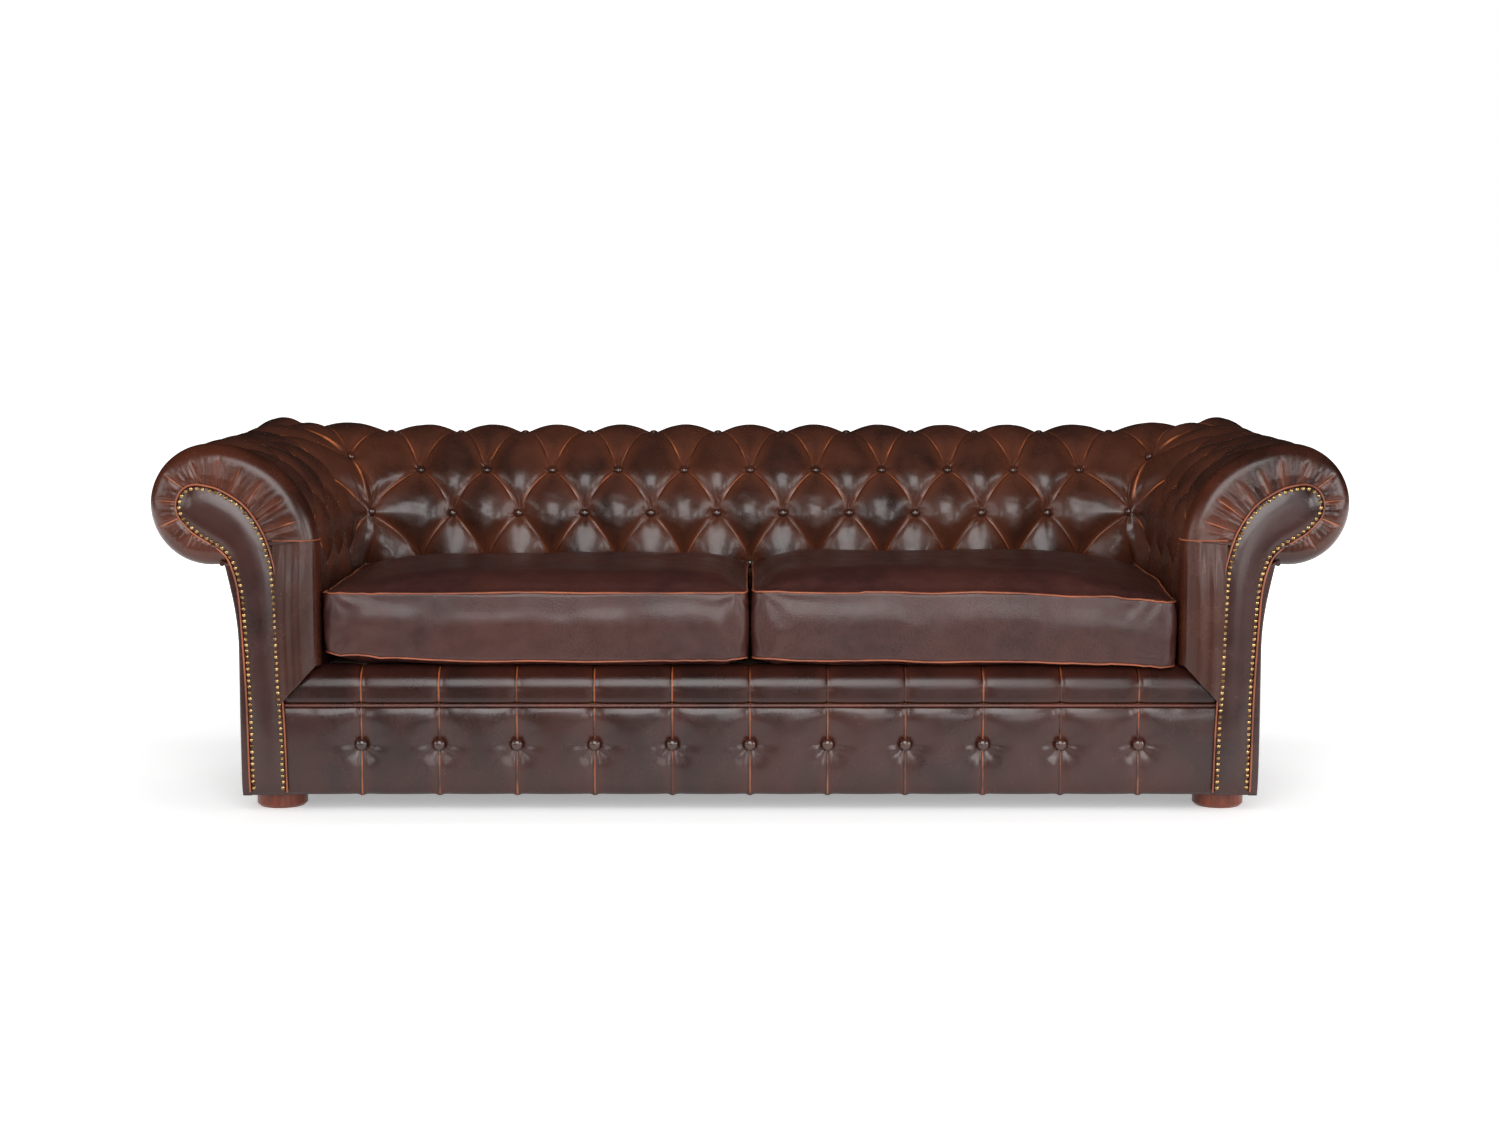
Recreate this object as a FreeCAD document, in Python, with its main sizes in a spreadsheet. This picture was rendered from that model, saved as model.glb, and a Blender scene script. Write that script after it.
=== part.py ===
import FreeCAD, Part
import math
import os
import re
from types import SimpleNamespace

import Sketcher
from FreeCAD import Placement, Rotation, Vector

# A deep-buttoned leather sofa with scroll arms and two loose seat cushions.
# X runs along the sofa, +Y to its back and +Z up. The origin is on the floor, in the middle.
# The arms and the back share one cane-shaped outline, drawn in a plane of setback and height:
# setback is measured outwards from the face that the sitter touches, and height from the floor.

# Driving dimensions, in millimetres
SIZES = {
    "overall_width": 2340.0,
    "overall_depth": 940.0,
    "crest_height": 726.0,
    "shoulder_radius": 209.0,
    "roll_radius": 119.0,
    "fit_gap": 0.5,
    "overrun": 20.0,
    # tufted padding
    "pad_thickness": 50.0,
    "pad_bottom": 240.0,
    "tuft_depth": 30.0,
    "corner_fill": 50.0,
    "roll_pleat_depth": 9.0,
    "tack_setback": 188.0,
    "row_b_rise": 28.0,
    "row_step_down": 114.0,
    "row_step_up": 116.0,
    "row_over_crest": 17.0,
    "lining_thickness": 2.0,
    "button_radius": 9.0,
    "button_seat": 8.0,
    "button_dome": 5.0,
    # front of the arms
    "crease_from_front": 70.0,
    "facing_thickness": 10.0,
    "scroll_board_thickness": 24.0,
    "scroll_board_inset": 40.0,
    "scroll_board_front": 34.0,
    "stem_setback": 80.0,
    "seam_height": 536.0,
    "front_roll_puff": 18.0,
    "front_roll_turn": 36.0,
    "front_pleat_depth": 4.0,
    "arm_panel_round": 38.0,
    # outside panels
    "outer_setback": 154.0,
    "outer_panel_thickness": 4.0,
    "outer_flare": 23.0,
    "outer_flare_start": 320.0,
    "outer_panel_top": 486.0,
    # seat front
    "border_setback": 17.0,
    "border_pad_thickness": 14.0,
    "border_top": 213.0,
    "border_pleat_depth": 4.0,
    "border_button_pit": 8.0,
    "border_button_height": 135.0,
    "border_button_radius": 10.0,
    "border_end_margin": 158.5,
    "piping_diameter": 7.0,
    "deck_top": 290.0,
    "lip_round": 45.0,
    "lip_channel_depth": 4.0,
    "lip_mitre_width": 72.0,
    # timber base
    "rail_thickness": 30.0,
    "seat_rail_top": 235.0,
    "outer_rail_height": 100.0,
    "block_height": 60.0,
    "block_length": 100.0,
    "stretcher_width": 44.0,
    "stretcher_height": 60.0,
    "stretcher_offset": 280.0,
    "rib_thickness": 18.0,
    "roll_rail_side": 60.0,
    "tack_rail_height": 40.0,
    "post_side": 40.0,
    "dust_cover_thickness": 1.0,
    # seat platform
    "web_width": 60.0,
    "web_thickness": 1.5,
    "insulator_thickness": 4.0,
    "deck_cloth_thickness": 2.0,
    "deck_gap": 3.0,
    # feet
    "foot_height": 36.0,
    "foot_diameter": 100.0,
    "foot_round": 6.0,
    "foot_setback": 93.0,
    "foot_from_front": 106.0,
    "foot_from_back": 96.0,
    "bolt_diameter": 8.0,
    "bolt_gap": 0.2,
    "bolt_in_foot": 26.0,
    "bolt_in_block": 44.0,
    # loose cushions
    "cushion_gap": 3.0,
    "cushion_back_gap": 6.0,
    "cushion_front_reveal": 15.0,
    "cushion_edge_height": 437.0,
    "cushion_crown": 43.0,
    "cushion_lift": 20.0,
    "cushion_corner": 26.0,
    "cushion_rear_corner": 60.0,
    "cushion_face_bulge": 7.0,
    "cushion_draw_in": 6.0,
    "cover_thickness": 2.5,
}

# Counts
BACK_HALF_PITCHES = 5
ARM_PITCHES = 3
FRONT_PLEATS = 12
BORDER_PLEATS = 11
LENGTHWISE_WEBS = 11
CROSSWISE_WEBS = 4
BUTTON_SIDES = 6
ROLL_STEPS = 7
CROWN_STEPS = 8
EDGE_STEPS = 3
SEATING_STEPS = 3

# Forms of the padding, as shares
BACK_CORNER_SHARE = 0.82
ARM_CORNER_SHARE = 0.67
CREASE_RISE_SHARE = 0.45
PILLOW_POWER = 0.6
END_PUFF_SHARE = 0.3
BUTTON_BASE_SHARE = 0.125
BUTTON_CROWN_SHARE = 0.45
CORNER_PITCH_SHARES = (1.0, 0.5, 1.0, 2.0)
CORNER_FILL_SHARES = (0.5, 1.0, 1.0, 0.28)
CORNER_STEP_SHARES = (0.125, 0.25, 0.375, 0.5, 0.625, 0.75, 0.875, 1.0)
END_PUFF_PITCHES = 0.5
PANEL_SOFT_SHARE = 0.67
CUSHION_SAG_SHARE = 0.9
CUSHION_END_CROWN_SHARE = 0.25
CUSHION_END_BULGE_SHARE = 0.4
CUSHION_REAR_BULGE_SHARE = 0.25
TACKED_SHARE = 0.67
BACK_RIB_SHARES = (0.32, 0.9)
ARM_RIB_SHARES = (0.5, 0.94)
FRONT_ROLL_STATION_SHARES = ((0.0, 1.0, 0.0), (0.18, 0.4, 0.3), (0.42, 0.0, 0.8))
FRONT_ROLL_TURN_SHARES = ((0.7, 0.06, 1.0), (0.88, 0.34, 1.0), (1.0, 1.0, 0.7))

# The nailed facing on the front of each arm: setback and height as shares of the scroll's
# width and of the crest height, for the inner edge, the head and the outer edge
FACING_INNER_SHARES = ((0.218, 0.0), (0.235, 0.551), (0.273, 0.697), (0.364, 0.797))
FACING_HEAD_SHARES = ((0.505, 0.863), (0.716, 0.893), (0.831, 0.831), (0.774, 0.781))
FACING_OUTER_SHARES = ((0.596, 0.7245), (0.5, 0.6625), (0.459, 0.56), (0.424, 0.0))

# Formulas that many pieces share
SCROLL_WIDTH = "(shoulder_radius + roll_radius)"
ARM_FACE = f"(overall_width / 2 - {SCROLL_WIDTH})"
BACK_FACE = f"(overall_depth / 2 - {SCROLL_WIDTH})"
FRONT = "(-overall_depth / 2)"
SPRING = "(crest_height - shoulder_radius)"
ROLL_CENTRE = "(crest_height - roll_radius)"
FRAME_BOTTOM = "(foot_height + dust_cover_thickness)"
CREASE = f"({FRONT} + crease_from_front)"
FACING_BACK = f"({FRONT} + facing_thickness + fit_gap)"
BOARD_FRONT = f"({FRONT} + scroll_board_front)"
BOARD_BACK = f"({BOARD_FRONT} + scroll_board_thickness)"
BORDER_FRONT = f"({FRONT} + border_setback)"
FRONT_RAIL_FRONT = f"({BORDER_FRONT} + border_pad_thickness)"
FRONT_RAIL_BACK = f"({FRONT_RAIL_FRONT} + rail_thickness)"
LIP_BACK = f"({CREASE} - fit_gap)"
LIP_BOTTOM = "(border_top + piping_diameter / 2 + fit_gap)"
SEAT_RAIL_OUT = "(pad_thickness + rail_thickness)"
PANEL_INNER = "(outer_setback - outer_panel_thickness - fit_gap)"
OUTER_RAIL_IN = f"({PANEL_INNER} - rail_thickness)"
RIB_INSET = "(pad_thickness + lining_thickness + 2 * fit_gap)"
WEB_TOP = "(seat_rail_top + 2 * web_thickness)"

document = FreeCAD.newDocument("ScrollArmSofa")
sheet = document.addObject("Spreadsheet::Sheet", "Sizes")
for row, (alias, value) in enumerate(SIZES.items(), start=1):
    sheet.set(f"A{row}", alias)
    sheet.set(f"B{row}", str(value))
    sheet.setAlias(f"B{row}", alias)
document.recompute()
size = SimpleNamespace(**{alias: float(sheet.get(alias)) for alias in SIZES})
kept = []


# Helpers for parametric objects


def formula(text):
    """Turns the size names in a formula into references to the sheet."""
    return re.sub(r"[a-z][a-z_0-9]*", lambda w: f"Sizes.{w[0]}" if w[0] in SIZES else w[0], text)


def worked_out(text):
    """The value of a formula of the sizes, worked out in a spare cell of the sheet."""
    sheet.set("D1", "=" + text)
    sheet.recompute()
    return float(sheet.get("D1"))


def keep(item, name):
    """Marks an object as a sub-part that is written out under this name."""
    item.Label = name
    kept.append(item)
    return item


def bind(item, **formulas):
    """Binds properties of an object to formulas of the sizes."""
    for name, text in formulas.items():
        item.setExpression(name.replace("__", "."), formula(text))
    return item


def board(name, x, y, z):
    """A square-edged block between two planes each way, each plane a formula."""
    item = document.addObject("Part::Box", name)
    for axis, side, (low, high) in zip("xyz", ("Length", "Width", "Height"), (x, y, z)):
        item.setExpression(side, formula(f"({high}) - ({low})"))
        item.setExpression(f"Placement.Base.{axis}", formula(f"{low}"))
    return item


def arm_band(inner, outer):
    """The X planes of a band of setbacks on the left arm."""
    return f"-({ARM_FACE} + {outer})", f"-({ARM_FACE} + {inner})"


def back_band(inner, outer):
    """The Y planes of a band of setbacks on the back."""
    return f"{BACK_FACE} + {inner}", f"{BACK_FACE} + {outer}"


def both_ways(half):
    """The X planes of a piece that is centred on the sofa."""
    return f"-({half})", f"{half}"


def mirror(item, name):
    """The same piece on the other side of the sofa."""
    copy = document.addObject("Part::Mirroring", name)
    copy.Source = item
    copy.Normal = Vector(1, 0, 0)
    return copy


def fuse(name, items):
    """Several solids made one."""
    item = document.addObject("Part::MultiFuse", name)
    item.Shapes = items
    return item


def cut(name, base, tool):
    """One object less another."""
    item = document.addObject("Part::Cut", name)
    item.Base = base
    item.Tool = tool
    return item


def group(name, items):
    """Several separate solids that share a node."""
    item = document.addObject("Part::Compound", name)
    item.Links = items
    return item


def pair(item, name):
    """A left piece and its mirror image as one node."""
    return keep(group(name + "_group", [item, mirror(item, name + "_other")]), name)


def sides(item, name):
    """A left piece and its mirror image as two nodes."""
    keep(item, name + "_left")
    return keep(mirror(item, name + "_mirror"), name + "_right")


def solid(name, shape):
    """An object whose shape is set from the sizes in this file."""
    item = document.addObject("Part::Feature", name)
    item.Shape = shape
    return item


# The cane-shaped outline


class Scroll:
    """The outline that the arms and the back share, as a run along it and an inset from it."""

    def __init__(self):
        self.spring = size.crest_height - size.shoulder_radius
        self.roll_centre = size.crest_height - size.roll_radius
        self.crest = math.pi / 2 * size.shoulder_radius
        overhang = math.asin((size.shoulder_radius - size.tack_setback) / size.roll_radius)
        self.end = self.crest + size.roll_radius * (math.pi + overhang)
        self.roll_middle = (self.crest + self.end) / 2
        row_b = size.row_b_rise
        top = self.crest + size.row_over_crest
        self.rows = (row_b - size.row_step_down, row_b, row_b + size.row_step_up, top)
        self.bottom = size.pad_bottom - self.spring

    def point(self, run, inset):
        """Setback and height of a point, where run is 0 as the inner face starts to curve."""
        if run <= 0:
            return inset, self.spring + run
        if run <= self.crest:
            turn, radius = run / size.shoulder_radius, size.shoulder_radius - inset
            setback = size.shoulder_radius - radius * math.cos(turn)
            return setback, self.spring + radius * math.sin(turn)
        turn, radius = (run - self.crest) / size.roll_radius, size.roll_radius - inset
        setback = size.shoulder_radius + radius * math.sin(turn)
        return setback, self.roll_centre + radius * math.cos(turn)

    def row_at(self, run):
        """The row of buttons that a run lies on, from 0 at the lowest to 3 at the top."""
        for number, (low, high) in enumerate(zip(self.rows, self.rows[1:])):
            if run < high:
                return number + max(0.0, run - low) / (high - low)
        return len(self.rows) - 1.0

    def run_at(self, row):
        """The run of a row or a part of one."""
        number = min(int(row), len(self.rows) - 2)
        low, high = self.rows[number], self.rows[number + 1]
        return low + (row - number) * (high - low)


scroll = Scroll()
arm_face = size.overall_width / 2 - size.shoulder_radius - size.roll_radius
back_face = size.overall_depth / 2 - size.shoulder_radius - size.roll_radius
front = -size.overall_depth / 2
crease = front + size.crease_from_front
facing_back = worked_out(FACING_BACK)
lip_bottom = worked_out(LIP_BOTTOM)


def on_arm(along, setback, height):
    """A point of the left arm."""
    return Vector(-(arm_face + setback), along, height)


def on_back(along, setback, height):
    """A point of the back."""
    return Vector(along, back_face + setback, height)


def edge_through(start, middle, end):
    """An arc through three points, or a line where they are in line."""
    chord = end - start
    sagitta = (middle - start).cross(chord).Length / chord.Length
    if sagitta < size.fit_gap / 10:
        return Part.makeLine(start, end)
    return Part.Arc(start, middle, end).toShape()


def closed_wire(points):
    """A wire through a ring of points, each a corner or a (middle, corner) pair."""
    corners = [p[-1] if isinstance(p, tuple) else p for p in points]
    edges = []
    for number, entry in enumerate(points):
        start = corners[number - 1]
        if isinstance(entry, tuple):
            edges.append(edge_through(start, entry[0], entry[1]))
        else:
            edges.append(Part.makeLine(start, entry))
    return Part.Wire(edges)


def ruled(wires):
    """A ruled solid through a row of sections."""
    shape = Part.makeLoft(wires, True, True)
    if shape.Volume < 0:
        shape.reverse()
    return shape


def faceted(rings):
    """A closed solid between rings of (point, depth), each cell creased along its deeper diagonal."""
    faces = []

    def flat(*corners):
        """A flat face with these corners."""
        faces.append(Part.Face(Part.makePolygon(list(corners) + [corners[0]])))

    for ring, after in zip(rings, rings[1:]):
        for number, (a, a_depth) in enumerate(ring):
            b, b_depth = ring[number - 1]
            c, c_depth = after[number - 1]
            d, d_depth = after[number]
            if a_depth + c_depth > b_depth + d_depth:
                flat(a, b, c)
                flat(a, c, d)
            else:
                flat(a, b, d)
                flat(b, c, d)
    flat(*[point for point, depth in rings[0]])
    flat(*[point for point, depth in rings[-1]])
    shell = Part.makeShell(faces)
    shell.sewShape()
    shape = Part.makeSolid(shell)
    if shape.Volume < 0:
        shape.reverse()
    return shape


# Tufted padding of the back and the arms


def by_row(row, shares):
    """The value of a table of rows at a row or between two."""
    number = min(int(row), len(shares) - 2)
    return shares[number] + (row - number) * (shares[number + 1] - shares[number])


def pillow(phase):
    """How far leather rises between two pleats, from 0 on a pleat to 1 halfway."""
    offset = abs(phase - round(phase))
    return math.sin(math.pi * offset) ** PILLOW_POWER if offset > 1e-9 else 0.0


def pleat_depth(run):
    """The depth of the buttoning along the outline, which runs out over the roll."""
    top = scroll.rows[-1]
    if run <= top:
        return size.tuft_depth
    share = (run - top) / (scroll.end - top)
    return size.tuft_depth + share * (size.roll_pleat_depth - size.tuft_depth)


def corner_fill(run):
    """How far the padding is built up on the mitre of a rear corner."""
    if run <= scroll.rows[0]:
        share = max(0.0, 1 - 2 * (scroll.rows[0] - run) / (scroll.rows[0] - scroll.bottom))
        return size.corner_fill * CORNER_FILL_SHARES[0] * share
    top = scroll.rows[-1]
    if run >= top:
        share = max(0.0, 1 - (run - top) / (scroll.roll_middle - top))
        return size.corner_fill * CORNER_FILL_SHARES[-1] * share
    return size.corner_fill * by_row(scroll.row_at(run), CORNER_FILL_SHARES)


class Station:
    """Where a section of padding stands: its place along the run, and its column of the pattern."""

    def __init__(self, column, along, mitre=0.0, face=0.0, outwards=1, end_share=1.0):
        self.column = column
        self.along = along + mitre * (face - along)
        self.slope = mitre * outwards
        self.mitre = mitre
        self.outwards = outwards
        self.end_share = end_share

    def column_at(self, row):
        """The column at a row: the corner holds more of the pattern where it is longer."""
        beyond = self.mitre * by_row(row, CORNER_PITCH_SHARES)
        return self.column + math.copysign(beyond, self.column_sign())

    def column_sign(self):
        """Columns count up towards the right end of the back, and down to the rear of an arm."""
        return self.column if self.column else -1

    def inset(self, run):
        """How far the leather is drawn in below the outline at a run."""
        row = scroll.row_at(run)
        column = self.column_at(row)
        one, other = pillow(column + row / 2), pillow(column - row / 2)
        crease_rise = CREASE_RISE_SHARE * max(one, other)
        rise = crease_rise + (1 - crease_rise) * one * other
        puff = END_PUFF_SHARE + (1 - END_PUFF_SHARE) * min(1.0, self.end_share)
        return pleat_depth(run) * (1 - rise * puff) - corner_fill(run) * self.mitre**2


def back_stations():
    """Sections of the back's padding, at quarter pitches and fanned out in both corners."""
    pitch = arm_face / (BACK_HALF_PITCHES + BACK_CORNER_SHARE)
    last = BACK_HALF_PITCHES
    middle = [Station(step / 4, step / 4 * pitch) for step in range(-4 * last, 4 * last + 1)]
    left, right = [], []
    for share in CORNER_STEP_SHARES:
        left.insert(0, Station(-last, -last * pitch, share, -arm_face, -1))
        right.append(Station(last, last * pitch, share, arm_face, 1))
    return left + middle + right


def arm_stations():
    """Sections of an arm's padding, from the rear corner to the crease behind the front roll."""
    pitch = (back_face - crease) / (ARM_PITCHES + ARM_CORNER_SHARE)
    first = back_face - ARM_CORNER_SHARE * pitch
    corner = [Station(0, first, share, back_face, 1) for share in CORNER_STEP_SHARES]
    stations = corner[::-1]
    for step in range(4 * ARM_PITCHES + 1):
        puff = (ARM_PITCHES - step / 4) / END_PUFF_PITCHES
        stations.append(Station(step / 4, first - step / 4 * pitch, end_share=puff))
    return stations


def tufted_ring(place, station):
    """The points of one section of tufted padding: its buttoned skin, closed inside the frame."""
    half_rows = range(2 * (len(scroll.rows) - 1) + 1)
    runs = [scroll.bottom] + [scroll.run_at(half / 2) for half in half_rows]
    last = runs[-1]
    runs += [last + step / ROLL_STEPS * (scroll.end - last) for step in range(1, ROLL_STEPS + 1)]

    def at(setback, height):
        """A point of the section, moved on with its setback where the section is slanted."""
        return place(station.along + station.slope * setback, setback, height)

    ring = [(at(*scroll.point(run, station.inset(run))), station.inset(run)) for run in runs]
    ring.append((at(size.shoulder_radius, scroll.roll_centre), 0.0))
    ring.append((at(size.pad_thickness + size.overrun, size.pad_bottom), 0.0))
    return ring


def hollow(place, low, high):
    """What the frame and its lining take out of the padding, straight from one place to another."""
    inset = size.pad_thickness
    past_end = scroll.end + size.overrun
    foot = scroll.bottom - size.overrun

    def at(run):
        """A point of the inside of the padding."""
        return place(low, *scroll.point(run, inset))

    stops = [0.0, scroll.crest, scroll.roll_middle, past_end]
    ring = [place(low, size.shoulder_radius, size.pad_bottom - size.overrun), at(foot), at(0.0)]
    ring += [(at((a + b) / 2), at(b)) for a, b in zip(stops, stops[1:])]
    return Part.Face(closed_wire(ring)).extrude(place(high, 0, 0) - place(low, 0, 0))


def tufted_pad(place, stations, low, high):
    """A run of tufted padding with its hollow."""
    blank = faceted([tufted_ring(place, station) for station in stations])
    return blank.cut(hollow(place, low, high))


back_row, arm_row = back_stations(), arm_stations()
half_width, half_depth = size.overall_width / 2, size.overall_depth / 2
back_pad = tufted_pad(on_back, back_row, -half_width, half_width)
arm_pad = tufted_pad(on_arm, arm_row, crease - size.overrun, half_depth)
keep(solid("BackPad", back_pad), "back_tufted_pad")
pair(solid("ArmPad", arm_pad), "arm_tufted_pads")


# Covered buttons


def button(radius, seat, dome):
    """A covered button on its end: a tapered underside that sits in its pit, and a raised top."""

    def ring(share, height):
        """The corners of the button at a share of its radius."""
        turns = [2 * math.pi * side / BUTTON_SIDES for side in range(BUTTON_SIDES)]
        reach = radius * share
        return [(Vector(reach * math.cos(t), reach * math.sin(t), height), 0.0) for t in turns]

    top = ring(BUTTON_CROWN_SHARE, seat + dome)
    return faceted([ring(BUTTON_BASE_SHARE, 0), ring(1, seat), top])


def pressed_in(shape, pad, axis):
    """A button moved down its axis until it all but touches the padding."""
    near = shape.BoundBox
    near.enlarge(size.pad_thickness)
    around = Part.makeCompound([face for face in pad.Faces if near.intersect(face.BoundBox)])
    for step in range(SEATING_STEPS):
        gap = shape.distToShape(around)[0]
        shape.translate(axis * (size.fit_gap - gap))
    return shape


def button_at(place, pad, station, row):
    """A button in its pit, square to the outline."""
    run = scroll.rows[row]
    clear = size.fit_gap + size.button_radius * max(BUTTON_BASE_SHARE, station.mitre)
    setback, height = scroll.point(run, station.inset(run) - clear)
    outer_setback, outer_height = scroll.point(run, station.inset(run) - 2 * clear)
    foot = place(station.along + station.slope * setback, setback, height)
    head = place(station.along + station.slope * outer_setback, outer_setback, outer_height)
    shape = button(size.button_radius, size.button_seat, size.button_dome)
    shape.Placement = Placement(foot, Rotation(Vector(0, 0, 1), head - foot))
    return pressed_in(shape, pad, (head - foot).normalize())


def buttons(place, pad, stations, first_mitre):
    """Every button of a run of padding, where a pleat of either slant crosses another."""
    shapes = []
    for station in stations:
        for row in range(len(scroll.rows)):
            column = station.column_at(row) + row / 2
            on_pleats = abs(column - round(column)) < 1e-6
            on_mitre = abs(station.mitre) == 1.0
            if on_pleats and station.end_share > 0 and (first_mitre or not on_mitre):
                shapes.append(button_at(place, pad, station, row))
    return Part.makeCompound(shapes)


back_buttons = buttons(on_back, back_pad, back_row, True)
keep(solid("BackButtons", back_buttons), "back_tuft_buttons")
arm_buttons = buttons(on_arm, arm_pad, arm_row, False)
pair(solid("ArmButtons", arm_buttons), "arm_tuft_buttons")


# Linings and outside panels, which follow the outline and are mitred at the rear corners


def lining_section():
    """The points of a bent lining between the frame and the padding."""
    inner = size.pad_thickness + size.fit_gap
    outer = inner + size.lining_thickness

    def at(run, inset):
        """A point at a run and an inset."""
        return scroll.point(run, inset)

    out = [scroll.bottom, 0.0, scroll.crest, scroll.roll_middle, scroll.end]
    ring = [at(scroll.bottom, outer), at(scroll.bottom, inner)]
    ring += [(at((a + b) / 2, inner), at(b, inner)) for a, b in zip(out, out[1:])]
    ring.append(at(scroll.end, outer))
    back = out[::-1]
    ring += [(at((a + b) / 2, outer), at(b, outer)) for a, b in zip(back, back[1:-1])]
    return ring


def panel_section():
    """The points of an outside panel, flared towards the roll."""
    start, top = size.outer_flare_start, size.outer_panel_top
    middle = (start + top) / 2

    def skin(depth):
        """One face of the panel, from the bottom to the top."""
        face = size.outer_setback - depth
        half_flare, flare = face + size.outer_flare / 4, face + size.outer_flare
        return [(face, size.foot_height), (face, start), (half_flare, middle), (flare, top)]

    outside, inside = skin(0), skin(size.outer_panel_thickness)
    ring = [outside[0], outside[1], (outside[2], outside[3])]
    return ring + [inside[3], (inside[2], inside[1]), inside[0]]


def placed_wire(place, ring):
    """A wire of the sofa from a ring of setbacks and heights."""
    points = []
    for entry in ring:
        if isinstance(entry[0], tuple):
            points.append(tuple(place(0, *point) for point in entry))
        else:
            points.append(place(0, *entry))
    return closed_wire(points)


def slanted(wire, place, along, slope):
    """A section moved along its run, and slanted so that it moves on with the setback."""
    across = place(0, 1, 0) - place(0, 0, 0)
    base = place(0, 0, 0)
    matrix = FreeCAD.Matrix()
    if abs(across.x) > abs(across.y):
        matrix.A21 = slope * across.x
        matrix.A24 = along - slope * across.x * base.x
    else:
        matrix.A12 = slope * across.y
        matrix.A14 = along - slope * across.y * base.y
    return wire.transformGeometry(matrix) if slope else wire.transformed(matrix)


def strip(place, ring, ends):
    """A strip of constant section between two ends, each a place and a slope."""
    wire = placed_wire(place, ring)
    return ruled([slanted(wire, place, along, slope) for along, slope in ends])


REAR_END = (back_face, 1)
LEFT_END, RIGHT_END = (-arm_face, -1), (arm_face, 1)
LINING_FRONT = (crease + size.fit_gap, 0)
PANEL_FRONT = (facing_back, 0)

sides(solid("ArmLining", strip(on_arm, lining_section(), (LINING_FRONT, REAR_END))), "arm_lining")
keep(solid("BackLining", strip(on_back, lining_section(), (LEFT_END, RIGHT_END))), "back_lining")
sides(
    solid("ArmOuterPanel", strip(on_arm, panel_section(), (PANEL_FRONT, REAR_END))),
    "arm_outer_panel",
)
keep(
    solid("BackOuterPanel", strip(on_back, panel_section(), (LEFT_END, RIGHT_END))),
    "back_outer_panel",
)


# Front of the arms


def scroll_plate(name, inset, thickness, stem, stem_top, gap):
    """A plate with the outline's inside shape, in a plane of setback (X), thickness (Y), height."""
    turned = Rotation(Vector(0, 0, 1), Vector(-1, 0, 0), Vector(0, -1, 0), "XYZ")
    through = (f"-{thickness}", f"2 * {thickness}")
    head = document.addObject("Part::Cylinder", name + "Shoulder")
    bind(head, Radius=f"shoulder_radius - {inset}", Height=thickness)
    head.Angle = 90
    roll = document.addObject("Part::Cylinder", name + "Roll")
    bind(roll, Radius=f"roll_radius - {inset}", Height=thickness)
    for item, height in ((head, SPRING), (roll, ROLL_CENTRE)):
        item.Placement = Placement(Vector(), turned)
        bind(item, Placement__Base__x="shoulder_radius", Placement__Base__z=height)
        bind(item, Placement__Base__y=thickness)
    plank = board(name + "Plank", (inset, PANEL_INNER), ("0", thickness), (FRAME_BOTTOM, SPRING))
    whole = fuse(name + "Whole", [head, roll, plank])
    stem_notch = board(name + "StemNotch", ("0", stem), through, ("0", stem_top))
    tack_top = f"(outer_panel_top + fit_gap + tack_rail_height + {gap})"
    tack_notch = board(name + "TackNotch", (PANEL_INNER, SCROLL_WIDTH), through, ("0", tack_top))
    overhang = f"sqrt((roll_radius - {inset})^2 - (shoulder_radius - tack_setback)^2)"
    pad_end = ("tack_setback - fit_gap", SCROLL_WIDTH)
    end_notch = board(name + "EndNotch", pad_end, through, ("0", f"{ROLL_CENTRE} - {overhang}"))
    notches = fuse(name + "Notches", [stem_notch, tack_notch, end_notch])
    return cut(name + "Plate", whole, notches)


def onto_arm(item, y):
    """Stands a plate on the left arm with its back face at y."""
    turned = Rotation(Vector(0, 0, 1), 180)
    item.Placement = Placement(Vector(), turned)
    return bind(item, Placement__Base__x=f"-{ARM_FACE}", Placement__Base__y=y)


def onto_back(item, x):
    """Stands a plate on the back, with its right face at x."""
    turned = Rotation(Vector(0, 0, 1), 90)
    item.Placement = Placement(Vector(), turned)
    return bind(item, Placement__Base__y=BACK_FACE, Placement__Base__x=x)


scroll_board = scroll_plate(
    "ScrollBoard",
    "scroll_board_inset",
    "scroll_board_thickness",
    "stem_setback",
    "(seam_height + fit_gap)",
    "fit_gap",
)
onto_arm(scroll_board, BOARD_BACK)
sides(scroll_board, "arm_scroll_board")

stile = board(
    "FrontStile",
    arm_band("stem_setback", PANEL_INNER),
    (FACING_BACK, f"{BOARD_FRONT} - fit_gap"),
    (FRAME_BOTTOM, f"{SPRING} - scroll_board_inset"),
)
pair(stile, "arm_front_stiles")


def front_roll_section(depth_share, inset, pleat):
    """A section of the pleated front roll, with one bulge between each two pleats."""
    along = crease - size.fit_gap + depth_share * (facing_back - crease + size.fit_gap)
    start = size.seam_height - scroll.spring
    step = (scroll.end - start) / FRONT_PLEATS

    def at(run, depth):
        """A point of the outline at a run."""
        setback, height = scroll.point(run, depth)
        return on_arm(along, setback, height)

    bottom = worked_out(SPRING) - size.scroll_board_inset + size.fit_gap
    seam_setback = scroll.point(start, inset + pleat)[0]
    ring = [on_arm(along, setback, size.seam_height) for setback in (size.stem_setback, seam_setback)]
    for number in range(FRONT_PLEATS):
        run = start + number * step
        ring.append((at(run + step / 2, inset), at(run + step, inset + pleat)))
    ring.append(on_arm(along, size.outer_setback, bottom))
    ring.append(on_arm(along, size.stem_setback, bottom))
    return closed_wire(ring)


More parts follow.
